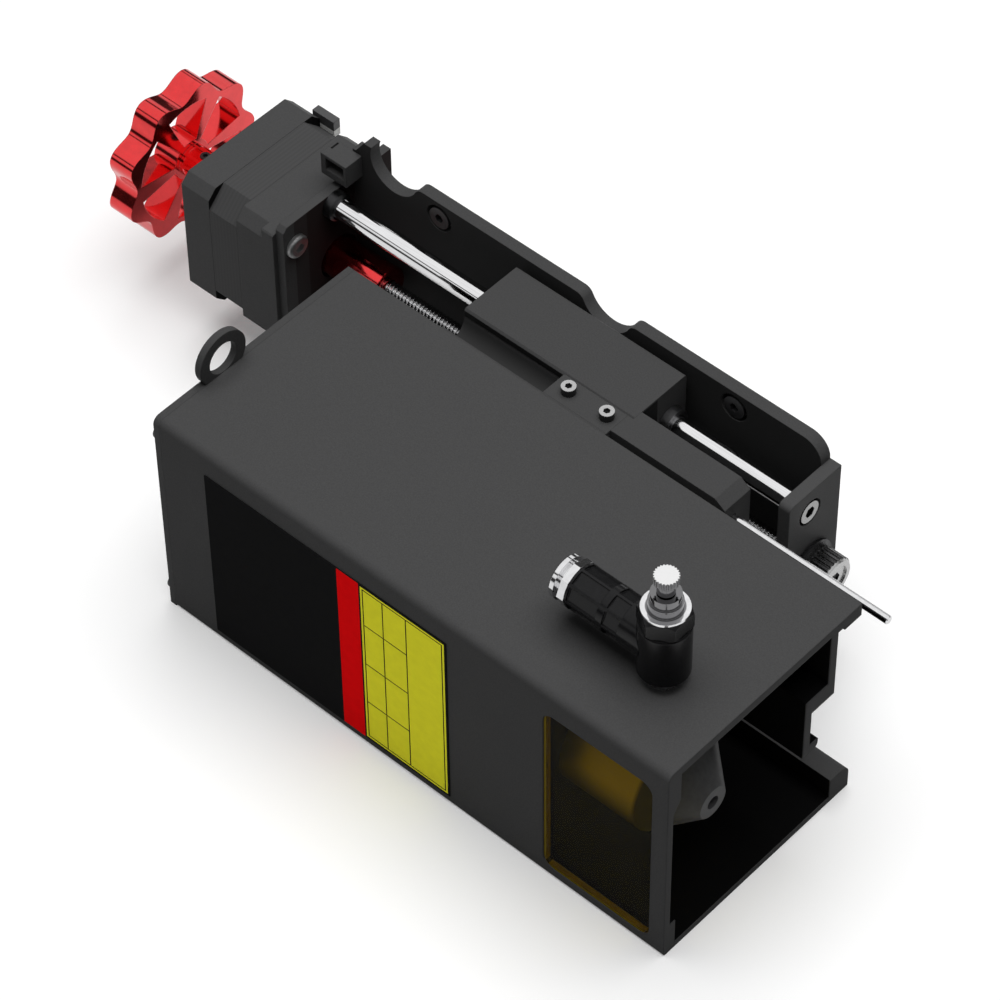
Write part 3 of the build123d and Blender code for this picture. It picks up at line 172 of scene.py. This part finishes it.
def noise(tree, scale, detail=2.0):
    node = tree.nodes.new("ShaderNodeTexNoise")
    node.inputs["Scale"].default_value = scale
    node.inputs["Detail"].default_value = detail
    node.inputs["Roughness"].default_value = 0.55
    link(tree, local_position(tree), node.inputs["Vector"])
    return node.outputs["Fac"]


def spread(tree, value, low, high, low_in=0.3, high_in=0.7):
    """A value between the two input limits, carried over to the span from low to high."""
    node = tree.nodes.new("ShaderNodeMapRange")
    node.inputs["From Min"].default_value = low_in
    node.inputs["From Max"].default_value = high_in
    node.inputs["To Min"].default_value = low
    node.inputs["To Max"].default_value = high
    link(tree, value, node.inputs["Value"])
    return node.outputs["Result"]


def colour_mix(tree, factor, first, second):
    node = tree.nodes.new("ShaderNodeMix")
    node.data_type = "RGBA"
    node.inputs[mix_first].default_value = (*first, 1)
    node.inputs[mix_second].default_value = (*second, 1)
    link(tree, factor, node.inputs["Factor"])
    return node.outputs[mix_result]


def bump(tree, height, distance, strength, radius=0.0):
    """Surface normal with a relief, and with edges softened by the radius; both in metres."""
    node = tree.nodes.new("ShaderNodeBump")
    node.inputs["Distance"].default_value = distance
    node.inputs["Strength"].default_value = strength
    link(tree, height, node.inputs["Height"])
    if radius:
        edge = tree.nodes.new("ShaderNodeBevel")
        edge.samples = 4
        edge.inputs["Radius"].default_value = radius
        link(tree, edge.outputs["Normal"], node.inputs["Normal"])
    return node.outputs["Normal"]


def coated_black(name, light, dark, roughness, grain, depth, specular, edge):
    """Black anodised or moulded surface with a fine grain and slightly uneven gloss."""
    material, tree, shader = new_material(name)
    fine = noise(tree, grain)
    broad = noise(tree, 60, detail=3.0)
    link(tree, colour_mix(tree, spread(tree, fine, 0, 1), dark, light), shader.inputs["Base Color"])
    rough = spread(tree, broad, roughness - 0.05, roughness + 0.05)
    link(tree, rough, shader.inputs["Roughness"])
    link(tree, bump(tree, fine, depth, 0.5, edge), shader.inputs["Normal"])
    shader.inputs["Specular IOR Level"].default_value = specular
    return material


def bare_metal(name, colour, roughness, scale, depth, edge=0.0, stretch=(1, 1, 1), coat=0.0):
    """Metal with fine tool or grinding marks drawn out along the stretched axis."""
    material, tree, shader = new_material(name)
    mapping = tree.nodes.new("ShaderNodeMapping")
    mapping.inputs["Scale"].default_value = stretch
    link(tree, local_position(tree), mapping.inputs["Vector"])
    marks = tree.nodes.new("ShaderNodeTexNoise")
    marks.inputs["Scale"].default_value = scale
    marks.inputs["Detail"].default_value = 2
    link(tree, mapping.outputs["Vector"], marks.inputs["Vector"])
    fac = marks.outputs["Fac"]
    shade = tuple(c * 0.88 for c in colour)
    base = colour_mix(tree, spread(tree, fac, 0, 1), shade, colour)
    link(tree, base, shader.inputs["Base Color"])
    link(tree, spread(tree, fac, roughness * 0.8, roughness * 1.25), shader.inputs["Roughness"])
    link(tree, bump(tree, fac, depth, 0.6, edge), shader.inputs["Normal"])
    shader.inputs["Metallic"].default_value = 1
    shader.inputs["Coat Weight"].default_value = coat
    shader.inputs["Coat Roughness"].default_value = 0.08
    return material


def tone_where(material, inside, colour):
    """Give the surfaces that lie inside the stated limits another colour; limits are in metres."""
    tree = material.node_tree
    place = coordinates(tree)
    mask = None
    for axis, low, high in inside:
        for operation, limit in (("GREATER_THAN", low), ("LESS_THAN", high)):
            if limit is None:
                continue
            test = combine(tree, operation, place[axis], limit)
            mask = test if mask is None else combine(tree, "MULTIPLY", mask, test)
    return tone_by(material, mask, colour)


def tone_by(material, mask, colour):
    """Lay another colour over the material's own where the mask is one."""
    tree = material.node_tree
    shader = tree.nodes["Principled BSDF"]
    old = shader.inputs["Base Color"].links[0].from_socket
    link(tree, colour_over(tree, mask, old, colour), shader.inputs["Base Color"])
    return material


def colour_over(tree, mask, below, colour):
    """A colour socket with a plain colour laid over it by a mask."""
    node = tree.nodes.new("ShaderNodeMix")
    node.data_type = "RGBA"
    node.inputs[mix_second].default_value = (*colour, 1)
    link(tree, below, node.inputs[mix_first])
    link(tree, mask, node.inputs["Factor"])
    return node.outputs[mix_result]


def distance_from(tree, first, second, first_at, second_at):
    """Distance from an axis, in metres, from two coordinates of the object's own frame."""
    place = coordinates(tree)
    squares = []
    for axis, centre in ((first, first_at), (second, second_at)):
        shift = combine(tree, "SUBTRACT", place[axis], centre)
        squares.append(combine(tree, "MULTIPLY", shift, shift))
    root = tree.nodes.new("ShaderNodeMath")
    root.operation = "SQRT"
    link(tree, combine(tree, "ADD", *squares), root.inputs[0])
    return root.outputs[0]


# Looks that several pieces share; depth and edge are in metres
plate_look = {
    "light": (0.060, 0.060, 0.0605), "dark": (0.050, 0.050, 0.0505), "roughness": 0.5,
    "grain": 3000, "depth": 0.00002, "specular": 0.02, "edge": 0.0003}
cap_look = {
    "light": (0.062, 0.062, 0.0625), "dark": (0.054, 0.054, 0.0545), "roughness": 0.52,
    "grain": 2600, "depth": 0.00002, "specular": 0.04, "edge": 0.0004}
mirror_grain = {"scale": 700, "depth": 0.000002, "edge": 0.0001}
turned_grain = {"scale": 1500, "depth": 0.000004}
screw_grain = {**turned_grain, "edge": 0.00008}
cast_grain = {"scale": 3000, "depth": 0.00002}

# Faces that the photograph shows in another tone, as limits in metres along each axis
# Housing's inner faces: near-black painted shade
housing_inside_painted_shade = ((X, -0.0600, 0.0963), (Y, -0.08585, -0.0350), (Z, -0.02925, 0.02565))
# Base plate's inner face: painted shade
base_face_painted_shade = ((Y, None, -0.00295),)
# Carriage's lower side next to the housing: painted shade
carriage_below_step_painted_shade = ((Y, None, -0.0135), (Z, None, 0.0262))
# Mount plate's front face: painted shade with a painted reddish reflection of the coupling
mount_face_inner_painted_shade_and_reflection = ((X, -0.06695, None), (Y, -0.0180, None))
mount_face_outer_painted_shade_and_reflection = ((X, -0.06695, None), (Y, -0.0220, -0.0180))
# Side block's lower rear part: painted shade
side_block_rear_painted_shade = ((X, None, 0.0107), (Z, None, 0.0262))
# Motor rear cap's front-facing step: near-black painted shade
rear_cap_step_painted_shade = ((X, -0.08885, None),)
connector_top = ((Z, 0.0140, None),)
end_nut_rim = ((X, 0.07445, None),)

# Edges between two tones, along one axis or out from the collar's axis, in metres
# Start of the housing's front faces, which get a faint painted shade
housing_front_edge = (0.09640, 0.09645)
nozzle_cone_start = (0.0814, 0.0824)
# The nozzle barrel's painted light fades out downwards across this height band
nozzle_lit_height = (-0.0065, 0.0010)
# The pane's rear and lower edges get a painted glow
pane_rear_edge = (0.06445, 0.06470)
pane_lower_edge = (-0.02775, -0.02750)
# Inside this distance from the collar's axis the chrome gets a painted shade
collar_bore_edge = (0.0039, 0.0041)
collar_axis = (0.0791, -0.0690)

# Blacks
# The housing's inner faces get a near-black painted shade; its front faces a faint one
housing_black = tone_where(coated_black(
    "housing_black", (0.064, 0.064, 0.0645), (0.054, 0.054, 0.0545), 0.55, 3500, 0.00002,
    specular=0.01, edge=0.0005), housing_inside_painted_shade, (0.0035, 0.0035, 0.0036))
housing_tree = housing_black.node_tree
# Front faces of the housing: a flat tone a little darker than the rest, a faint painted shade
front_face_painted_shade = spread(housing_tree, coordinates(housing_tree)[X], 0, 1, *housing_front_edge)
tone_by(housing_black, front_face_painted_shade, (0.055, 0.055, 0.0555))
plate_black = coated_black("plate_black", **plate_look)
block_black = coated_black(
    "block_black", (0.009, 0.009, 0.0092), (0.008, 0.008, 0.0082), 0.6, 900, 0.000001,
    specular=0.0, edge=0.0002)
# The base plate's inner face gets a painted shade
base_black = tone_where(
    coated_black("base_black", **plate_look), base_face_painted_shade, (0.030, 0.030, 0.0302))
# The carriage's lower side gets a painted shade
carriage_black = tone_where(
    coated_black("carriage_black", **plate_look), carriage_below_step_painted_shade, (0.016, 0.016, 0.0162))
mount_black = coated_black("mount_black", **{
    **plate_look, "light": (0.062, 0.062, 0.0625), "dark": (0.054, 0.054, 0.0545)})
# The mount plate's front face gets a dark reddish painted shade and a painted reflection of the red
# coupling
tone_where(mount_black, mount_face_inner_painted_shade_and_reflection, (0.022, 0.017, 0.017))
tone_where(mount_black, mount_face_outer_painted_shade_and_reflection, (0.034, 0.031, 0.031))
grey_plate = coated_black("grey_plate", **{
    **plate_look, "light": (0.066, 0.066, 0.0665), "dark": (0.057, 0.057, 0.0575),
    "specular": 0.04})
# The side block's lower rear part gets a painted shade
side_black = tone_where(
    coated_black("side_black", **plate_look), side_block_rear_painted_shade, (0.036, 0.036, 0.0362))
cap_black = coated_black("cap_black", **cap_look)
# The rear cap's front-facing step gets a near-black painted shade
rear_cap_black = tone_where(
    coated_black("rear_cap_black", **cap_look), rear_cap_step_painted_shade, (0.005, 0.005, 0.0051))
socket_black = coated_black(
    "socket_black", (0.026, 0.026, 0.027), (0.020, 0.020, 0.021), 0.4, 2000, 0.00001,
    specular=0.15, edge=0.0001)
gloss_black = coated_black(
    "gloss_black", (0.005, 0.005, 0.0055), (0.003, 0.003, 0.0035), 0.22, 900, 0.000004,
    specular=0.22, edge=0.0003)
screw_black = coated_black(
    "screw_black", (0.020, 0.020, 0.021), (0.012, 0.012, 0.013), 0.35, 2500, 0.00001,
    specular=0.4, edge=0.0001)


def nozzle_finish_and_painted_light():
    """Turned nozzle: brushed barrel, dark cone. The barrel's bright metal is painted light on its
    upper part only; lower down it keeps the dark finish as painted shade.
    """
    material = coated_black(
        "nozzle_finish_and_painted_light", (0.060, 0.060, 0.061), (0.050, 0.050, 0.051), 0.42, 900, 0.000001,
        specular=0.15, edge=0.0002)
    tree = material.node_tree
    place = coordinates(tree)
    behind_cone = spread(tree, place[X], 1, 0, *nozzle_cone_start)
    lit = spread(tree, place[Z], 0, 1, *nozzle_lit_height)
    # Bright metal on the barrel's upper part only: painted light, with painted shade below
    barrel = combine(tree, "MULTIPLY", behind_cone, lit)
    tone_by(material, barrel, (0.50, 0.48, 0.44))
    link(tree, barrel, tree.nodes["Principled BSDF"].inputs["Metallic"])
    return material


nozzle_black = nozzle_finish_and_painted_light()

# Metals
knurl_grey = bare_metal("knurl_grey", (0.055, 0.055, 0.057), 0.4, 2500, 0.00001)
sintered = bare_metal("sintered", (0.20, 0.20, 0.205), 0.45, **cast_grain)
red_metal = bare_metal("red_metal", (0.80, 0.035, 0.038), 0.10, 500, 0.00001, edge=0.0003, coat=0.6)
polished = bare_metal("polished", (0.80, 0.80, 0.81), 0.07, **mirror_grain)
valve_chrome = bare_metal("valve_chrome", (0.19, 0.19, 0.195), 0.12, **mirror_grain)
# The valve screw's top face is painted near-white over the dark chrome: a painted highlight
valve_top_painted_highlight = ((Z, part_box("valve_screw")[1].z - 0.0001, None),)
tone_where(valve_chrome, valve_top_painted_highlight, (0.86, 0.86, 0.86))
collar_chrome = bare_metal("collar_chrome", (0.85, 0.85, 0.86), 0.09, **mirror_grain)
collar_tree = collar_chrome.node_tree
# The collar's chrome near its bore gets a painted shade
collar_bore_painted_shade = spread(
    collar_tree, distance_from(collar_tree, X, Y, *collar_axis), 1, 0, *collar_bore_edge)
tone_by(collar_chrome, collar_bore_painted_shade, (0.20, 0.20, 0.205))
small_screw = bare_metal("small_screw", (0.58, 0.58, 0.58), 0.25, **screw_grain)
# Side block screws below their top face, socket and head sides, get a painted shade
small_screw_socket_painted_shade = ((Z, None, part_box("side_block_screws")[1].z - 0.0002),)
tone_where(small_screw, small_screw_socket_painted_shade, (0.10, 0.10, 0.101))
pan_screw = bare_metal("pan_screw", (0.30, 0.30, 0.30), 0.5, **screw_grain)
nut_steel = bare_metal("nut_steel", (0.13, 0.13, 0.132), 0.25, **screw_grain)
tone_where(nut_steel, end_nut_rim, (0.50, 0.50, 0.50))
ground_shaft = bare_metal(
    "ground_shaft", (0.82, 0.82, 0.83), 0.09, 2500, 0.000002, stretch=(0.05, 1, 1))
screw_steel = bare_metal("screw_steel", (0.45, 0.45, 0.45), 0.22, **screw_grain)
cap_screw_steel = bare_metal("cap_screw_steel", (0.34, 0.34, 0.34), 0.25, **screw_grain)
# The shaft screws' socket recess gets a painted shade
cap_screw_socket_painted_shade = ((X, None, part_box("shaft_screws")[1].x - 0.0002),)
tone_where(cap_screw_steel, cap_screw_socket_painted_shade, (0.10, 0.10, 0.101))
thread_steel = bare_metal("thread_steel", (0.72, 0.72, 0.73), 0.16, **turned_grain)
machined = bare_metal(
    "machined", (0.70, 0.70, 0.71), 0.32, 1800, 0.00001, edge=0.0002, stretch=(0.1, 1, 1))
brass_metal = bare_metal("brass_metal", (0.70, 0.48, 0.20), 0.25, **turned_grain)
bronze_metal = bare_metal("bronze_metal", (0.45, 0.30, 0.16), 0.45, **cast_grain)


def laminated():
    """Dark steel sheets stacked along X."""
    material, tree, shader = new_material("laminated")
    wave = tree.nodes.new("ShaderNodeTexWave")
    wave.inputs["Scale"].default_value = 320
    wave.bands_direction = "X"
    link(tree, local_position(tree), wave.inputs["Vector"])
    fac = wave.outputs["Fac"]
    link(tree, colour_mix(tree, fac, (0.054, 0.054, 0.0545), (0.060, 0.060, 0.0605)),
         shader.inputs["Base Color"])
    link(tree, bump(tree, fac, 0.00001, 0.1, 0.0003), shader.inputs["Normal"])
    shader.inputs["Roughness"].default_value = 0.52
    shader.inputs["Specular IOR Level"].default_value = 0.04
    return material


def plain_plastic(name, colour, roughness):
    """Moulded plastic with a fine grain."""
    material, tree, shader = new_material(name)
    fine = noise(tree, 1500)
    shade = tuple(c * 0.85 for c in colour)
    base = colour_mix(tree, spread(tree, fine, 0, 1), shade, colour)
    link(tree, base, shader.inputs["Base Color"])
    link(tree, bump(tree, fine, 0.00001, 0.4, 0.0002), shader.inputs["Normal"])
    shader.inputs["Roughness"].default_value = roughness
    return material


def board_green():
    """Circuit board with faint copper lines under its green mask."""
    material, tree, shader = new_material("board_green")
    brick = tree.nodes.new("ShaderNodeTexBrick")
    brick.inputs["Scale"].default_value = 220
    brick.inputs["Color1"].default_value = (0.006, 0.060, 0.020, 1)
    brick.inputs["Color2"].default_value = (0.008, 0.075, 0.026, 1)
    brick.inputs["Mortar"].default_value = (0.020, 0.120, 0.045, 1)
    brick.inputs["Mortar Size"].default_value = 0.03
    link(tree, local_position(tree), brick.inputs["Vector"])
    link(tree, brick.outputs["Color"], shader.inputs["Base Color"])
    link(tree, bump(tree, brick.outputs["Fac"], 0.00002, 0.3), shader.inputs["Normal"])
    shader.inputs["Roughness"].default_value = 0.35
    return material


def amber_pane():
    """Tinted pane; its rear and lower edges are an opaque amber strip, a painted glow of light
    caught in the pane's edges.
    """
    material, tree, shader = new_material("amber_pane")
    fac = noise(tree, 90)
    tint = colour_mix(tree, spread(tree, fac, 0, 1), (0.36, 0.28, 0.016), (0.40, 0.31, 0.020))
    place = coordinates(tree)
    rear_edge = spread(tree, place[X], 1, 0, *pane_rear_edge)
    lower_edge = spread(tree, place[Z], 1, 0, *pane_lower_edge)
    # Opaque amber strip along the rear and lower edges: painted glow
    edge_glow_painted = combine(tree, "MAXIMUM", rear_edge, lower_edge)
    link(tree, colour_over(tree, edge_glow_painted, tint, (0.15, 0.105, 0.006)), shader.inputs["Base Color"])
    link(tree, spread(tree, edge_glow_painted, 1, 0, 0, 1), shader.inputs["Transmission Weight"])
    shader.inputs["Roughness"].default_value = 0.0
    shader.inputs["IOR"].default_value = 1.06
    return material


def lens_coating():
    """Glass with a bluish coating."""
    material, tree, shader = new_material("lens_coating")
    fac = noise(tree, 200)
    link(tree, colour_mix(tree, fac, (0.70, 0.78, 0.95), (0.80, 0.84, 0.98)),
         shader.inputs["Base Color"])
    link(tree, spread(tree, fac, 0.01, 0.04), shader.inputs["Roughness"])
    shader.inputs["Transmission Weight"].default_value = 1
    return material


def printed(name, colour):
    """Printed label colour with a faint orange-peel surface."""
    material, tree, shader = new_material(name)
    fine = noise(tree, 400)
    shade = tuple(c * 0.94 for c in colour)
    base = colour_mix(tree, spread(tree, fine, 0, 1), shade, colour)
    link(tree, base, shader.inputs["Base Color"])
    link(tree, bump(tree, fine, 0.00001, 0.15), shader.inputs["Normal"])
    shader.inputs["Roughness"].default_value = 0.3
    shader.inputs["Specular IOR Level"].default_value = 0.0
    return material


stack = laminated()
connector_white = tone_where(
    plain_plastic("connector_white", (0.72, 0.72, 0.70), 0.4),
    connector_top, (0.050, 0.050, 0.051))
green_board = board_green()
amber = amber_pane()
lens = lens_coating()
label_black = printed("label_black", (0.014, 0.014, 0.0144))
label_red = printed("label_red", (0.97, 0.006, 0.008))
label_yellow = printed("label_yellow", (1.0, 0.96, 0.042))

finish = {
    "base_plate": base_black, "mounting_screws": screw_black, "motor_mount_plate": mount_black,
    "motor_front_cap": cap_black, "motor_stator": stack, "motor_rear_cap": rear_cap_black,
    "motor_tie_screws": screw_black, "motor_face_screws": pan_screw,
    "motor_bearings": screw_steel, "motor_connector": connector_white,
    "cable_socket": cap_black, "cable_socket_pins": brass_metal,
    "upper_guide_shaft": ground_shaft, "lower_guide_shaft": ground_shaft,
    "shaft_collars": knurl_grey, "front_end_plate": grey_plate,
    "shaft_screws": cap_screw_steel, "screw_bearing": bronze_metal,
    "knob": red_metal, "knob_set_screw": screw_black, "motor_shaft": screw_steel,
    "motor_rotor": stack, "shaft_coupling": red_metal, "coupling_set_screws": screw_black,
    "lead_screw": thread_steel, "end_washer": knurl_grey, "end_nut": nut_steel,
    "carriage_block": carriage_black, "guide_bushings": sintered, "lead_nut": brass_metal,
    "side_block": side_black, "side_block_screws": small_screw, "bracket_plate": plate_black,
    "clamp_bar": plate_black, "clamp_screws": screw_black, "housing": housing_black,
    "window_pane": amber, "label_panel": label_black, "rear_cover": plate_black,
    "rear_cover_screws": screw_black, "power_socket": socket_black, "laser_block": block_black,
    "laser_diodes": brass_metal, "focus_lens": lens, "nozzle": nozzle_black,
    "air_post": plate_black, "heat_sink": machined, "driver_board": green_board,
    "fan_frame": socket_black, "fan_screws": screw_black, "fitting_stem": machined,
    "fitting_body": gloss_black, "fitting_barrel": gloss_black, "barrel_end_ring": polished,
    "valve_collar": collar_chrome, "probe_housing": plate_black, "fan_rotor": socket_black,
    "valve_screw": valve_chrome, "release_collet": polished, "probe_rod": polished,
}
for name, node in nodes.items():
    node.data.materials.clear()
    node.data.materials.append(finish[name])


# Pieces made here

def add_mesh(name, vertices, faces, materials, body, face_materials=None, smooth=False):
    data = bpy.data.meshes.new(name)
    data.from_pydata([Vector(v) * MM for v in vertices], [], faces)
    for material in materials:
        data.materials.append(material)
    if face_materials:
        for polygon, index in zip(data.polygons, face_materials):
            polygon.material_index = index
    for polygon in data.polygons:
        polygon.use_smooth = smooth
    data.validate()
    piece = bpy.data.objects.new(name, data)
    bpy.context.scene.collection.objects.link(piece)
    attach(piece, body)
    return piece


def make_thread():
    """Lead screw with a two-start right-hand thread of 2 mm lead."""
    low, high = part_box("lead_screw")
    axis_y = (low.y + high.y) / 2 / MM
    axis_z = (low.z + high.z) / 2 / MM
    start, end = low.x / MM, high.x / MM
    rings = int((end - start) / (thread_pitch / thread_rings_per_pitch))
    vertices, faces = [], []
    for ring in range(rings + 1):
        x = start + (end - start) * ring / rings
        near_end = max(0.0, min(1.0, min(x - start, end - x) / thread_run_out))
        for step in range(thread_steps):
            angle = tau * step / thread_steps
            phase = (x / thread_pitch - thread_starts * angle / tau) % 1.0
            height = min(1.0, max(0.0, thread_land - abs(phase - 0.5) * thread_slope))
            radius = thread_root_r + (thread_crest_r - thread_root_r) * height * near_end
            vertices.append((x, axis_y + radius * cos(angle), axis_z + radius * sin(angle)))
    for ring in range(rings):
        for step in range(thread_steps):
            a = ring * thread_steps + step
            b = ring * thread_steps + (step + 1) % thread_steps
            faces.append((a, b, b + thread_steps, a + thread_steps))
    faces.append(tuple(reversed(range(thread_steps))))
    faces.append(tuple(rings * thread_steps + step for step in range(thread_steps)))
    piece = add_mesh(
        "lead_screw_thread", vertices, faces, [thread_steel], "drive_screw", smooth=True)
    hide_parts("lead_screw")


make_thread()


def make_label():
    """Printed panel in one skin: black field, red band, yellow field with thin rules."""
    low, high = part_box("label_panel")
    x0, x1 = low.x / MM, high.x / MM
    z0, z1 = low.z / MM, high.z / MM
    front, back = low.y / MM, high.y / MM
    yellow_x = (label_yellow_start, x1 - label_edge)
    yellow_z = (z0 + label_edge, z1 - label_edge)
    frame_x = (yellow_x[0] + label_edge, yellow_x[1] - label_edge)
    frame_z = (z0 + label_frame, z1 - label_frame)
    borders_x = (frame_x[0], frame_x[1] - label_rule)
    borders_z = (frame_z[0], frame_z[1] - label_rule)
    columns = (label_first_rule, label_second_rule)
    rows = [z0 + (z1 - z0) * row / label_rows for row in range(1, label_rows)]
    rules_x = [place + width for place in (*borders_x, *columns) for width in (0, label_rule)]
    rules_z = [place + width for place in (*borders_z, *rows) for width in (0, label_rule)]
    xs = sorted({round(x, 4) for x in (x0, x1, *label_red_span, *yellow_x, *rules_x)})
    zs = sorted({round(z, 4) for z in (z0, z1, *yellow_z, *rules_z)})
    vertices = [(x, depth, z) for depth in (front, back) for z in zs for x in xs]
    faces, kinds = [], []
    count = len(xs)
    layer = count * len(zs)

    def on_rule(value, places):
        return any(place < value < place + label_rule for place in places)

    def kind(x, z):
        """Index of the colour at a point: black 0, red 1, yellow 2."""
        if label_red_span[0] < x < label_red_span[1]:
            return 1
        if not (yellow_x[0] < x < yellow_x[1] and yellow_z[0] < z < yellow_z[1]):
            return 0
        if not (frame_x[0] < x < frame_x[1] and frame_z[0] < z < frame_z[1]):
            return 2
        if on_rule(x, (*borders_x, *columns)) or on_rule(z, borders_z):
            return 0
        return 0 if x < label_second_rule and on_rule(z, rows) else 2

    for j in range(len(zs) - 1):
        for i in range(count - 1):
            a = j * count + i
            faces.append((a, a + 1, a + 1 + count, a + count))
            kinds.append(kind((xs[i] + xs[i + 1]) / 2, (zs[j] + zs[j + 1]) / 2))
            b = a + layer
            faces.append((b, b + count, b + 1 + count, b + 1))
            kinds.append(0)
    top = (len(zs) - 1) * count
    for i in range(count - 1):
        faces.append((i, i + layer, i + 1 + layer, i + 1))
        faces.append((top + i, top + i + 1, top + i + 1 + layer, top + i + layer))
        kinds += [0, 0]
    for j in range(len(zs) - 1):
        a, b = j * count, (j + 1) * count
        faces.append((a, b, b + layer, a + layer))
        c, d = a + count - 1, b + count - 1
        faces.append((c, c + layer, d + layer, d))
        kinds += [0, 0]
    piece = add_mesh(
        "label_print", vertices, faces, [label_black, label_red, label_yellow], "carriage",
        face_materials=kinds)
    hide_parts("label_panel")


make_label()


# Floor, light and background

def mix_shaders(tree, factor, first, second):
    node = tree.nodes.new("ShaderNodeMixShader")
    for socket, source in zip(node.inputs, (factor, first, second)):
        link(tree, source, socket)
    return node.outputs[0]


def make_floor():
    """White floor that glows for the camera, more so with distance, and still takes shadows."""
    height = cad_box[0][Z]
    signs = ((-1, -1), (1, -1), (1, 1), (-1, 1))
    corners = [(x * floor_half, y * floor_half, height) for x, y in signs]
    data = bpy.data.meshes.new("floor")
    data.from_pydata(corners, [], [(0, 1, 2, 3)])
    floor = bpy.data.objects.new("floor", data)
    bpy.context.scene.collection.objects.link(floor)
    material = bpy.data.materials.new("floor")
    material.use_nodes = True
    tree = material.node_tree
    tree.nodes.clear()
    output = tree.nodes.new("ShaderNodeOutputMaterial")
    diffuse = tree.nodes.new("ShaderNodeBsdfDiffuse")
    glow = tree.nodes.new("ShaderNodeEmission")
    path = tree.nodes.new("ShaderNodeLightPath")
    gloss = combine(tree, "MULTIPLY", path.outputs["Is Glossy Ray"], glossy_share)
    seen = combine(tree, "MAXIMUM", path.outputs["Is Camera Ray"], gloss)
    clear = combine(tree, "MAXIMUM", seen, path.outputs["Is Transmission Ray"])
    far_off = distance_from(tree, X, Y, *floor_centre)
    share = combine(tree, "MULTIPLY", clear, spread(tree, far_off, floor_glow, 1.0, *floor_fade))
    tone = colour_mix(tree, clear, (floor_tone,) * 3, (1, 1, 1))
    link(tree, tone, diffuse.inputs["Color"])
    surface = mix_shaders(tree, share, diffuse.outputs[0], glow.outputs[0])
    link(tree, surface, output.inputs["Surface"])
    data.materials.append(material)


def make_world():
    """White to the camera, studio strips in reflections, a weak even light for the rest."""
    world = bpy.data.worlds.new("studio")
    bpy.context.scene.world = world
    world.use_nodes = True
    tree = world.node_tree
    tree.nodes.clear()
    output = tree.nodes.new("ShaderNodeOutputWorld")
    ambient, studio, white = (tree.nodes.new("ShaderNodeBackground") for _ in range(3))
    for background, strength in ((ambient, ambient_level), (white, 1.0)):
        background.inputs["Color"].default_value = (1, 1, 1, 1)
        background.inputs["Strength"].default_value = strength
    path = tree.nodes.new("ShaderNodeLightPath")
    around = tree.nodes.new("ShaderNodeTexCoord")
    parts = tree.nodes.new("ShaderNodeSeparateXYZ")
    link(tree, around.outputs["Generated"], parts.inputs[0])
    strips = tree.nodes.new("ShaderNodeValToRGB")
    ramp = strips.color_ramp
    while len(ramp.elements) < len(studio_levels):
        ramp.elements.new(0.5)
    for element, (place, level) in zip(ramp.elements, studio_levels):
        element.position = place
        element.color = (level, level, level, 1)
    link(tree, parts.outputs[Z], strips.inputs[0])
    link(tree, strips.outputs[0], studio.inputs["Color"])
    lighting = mix_shaders(
        tree, path.outputs["Is Glossy Ray"], ambient.outputs[0], studio.outputs[0])
    clear = combine(
        tree, "MAXIMUM", path.outputs["Is Camera Ray"], path.outputs["Is Transmission Ray"])
    surface = mix_shaders(tree, clear, lighting, white.outputs[0])
    link(tree, surface, output.inputs["Surface"])


def make_lamp(name, place, target, size, power):
    data = bpy.data.lights.new(name, "AREA")
    data.shape = "SQUARE"
    data.size = size
    data.energy = power
    lamp = bpy.data.objects.new(name, data)
    bpy.context.scene.collection.objects.link(lamp)
    lamp.visible_glossy = False
    lamp.location = place
    direction = Vector(target) - Vector(place)
    lamp.rotation_euler = direction.to_track_quat("-Z", "Y").to_euler()


make_floor()
make_world()
make_lamp("top_lamp", lamp_place, lamp_target, lamp_size, lamp_power)

bpy.context.scene.view_settings.view_transform = "Standard"
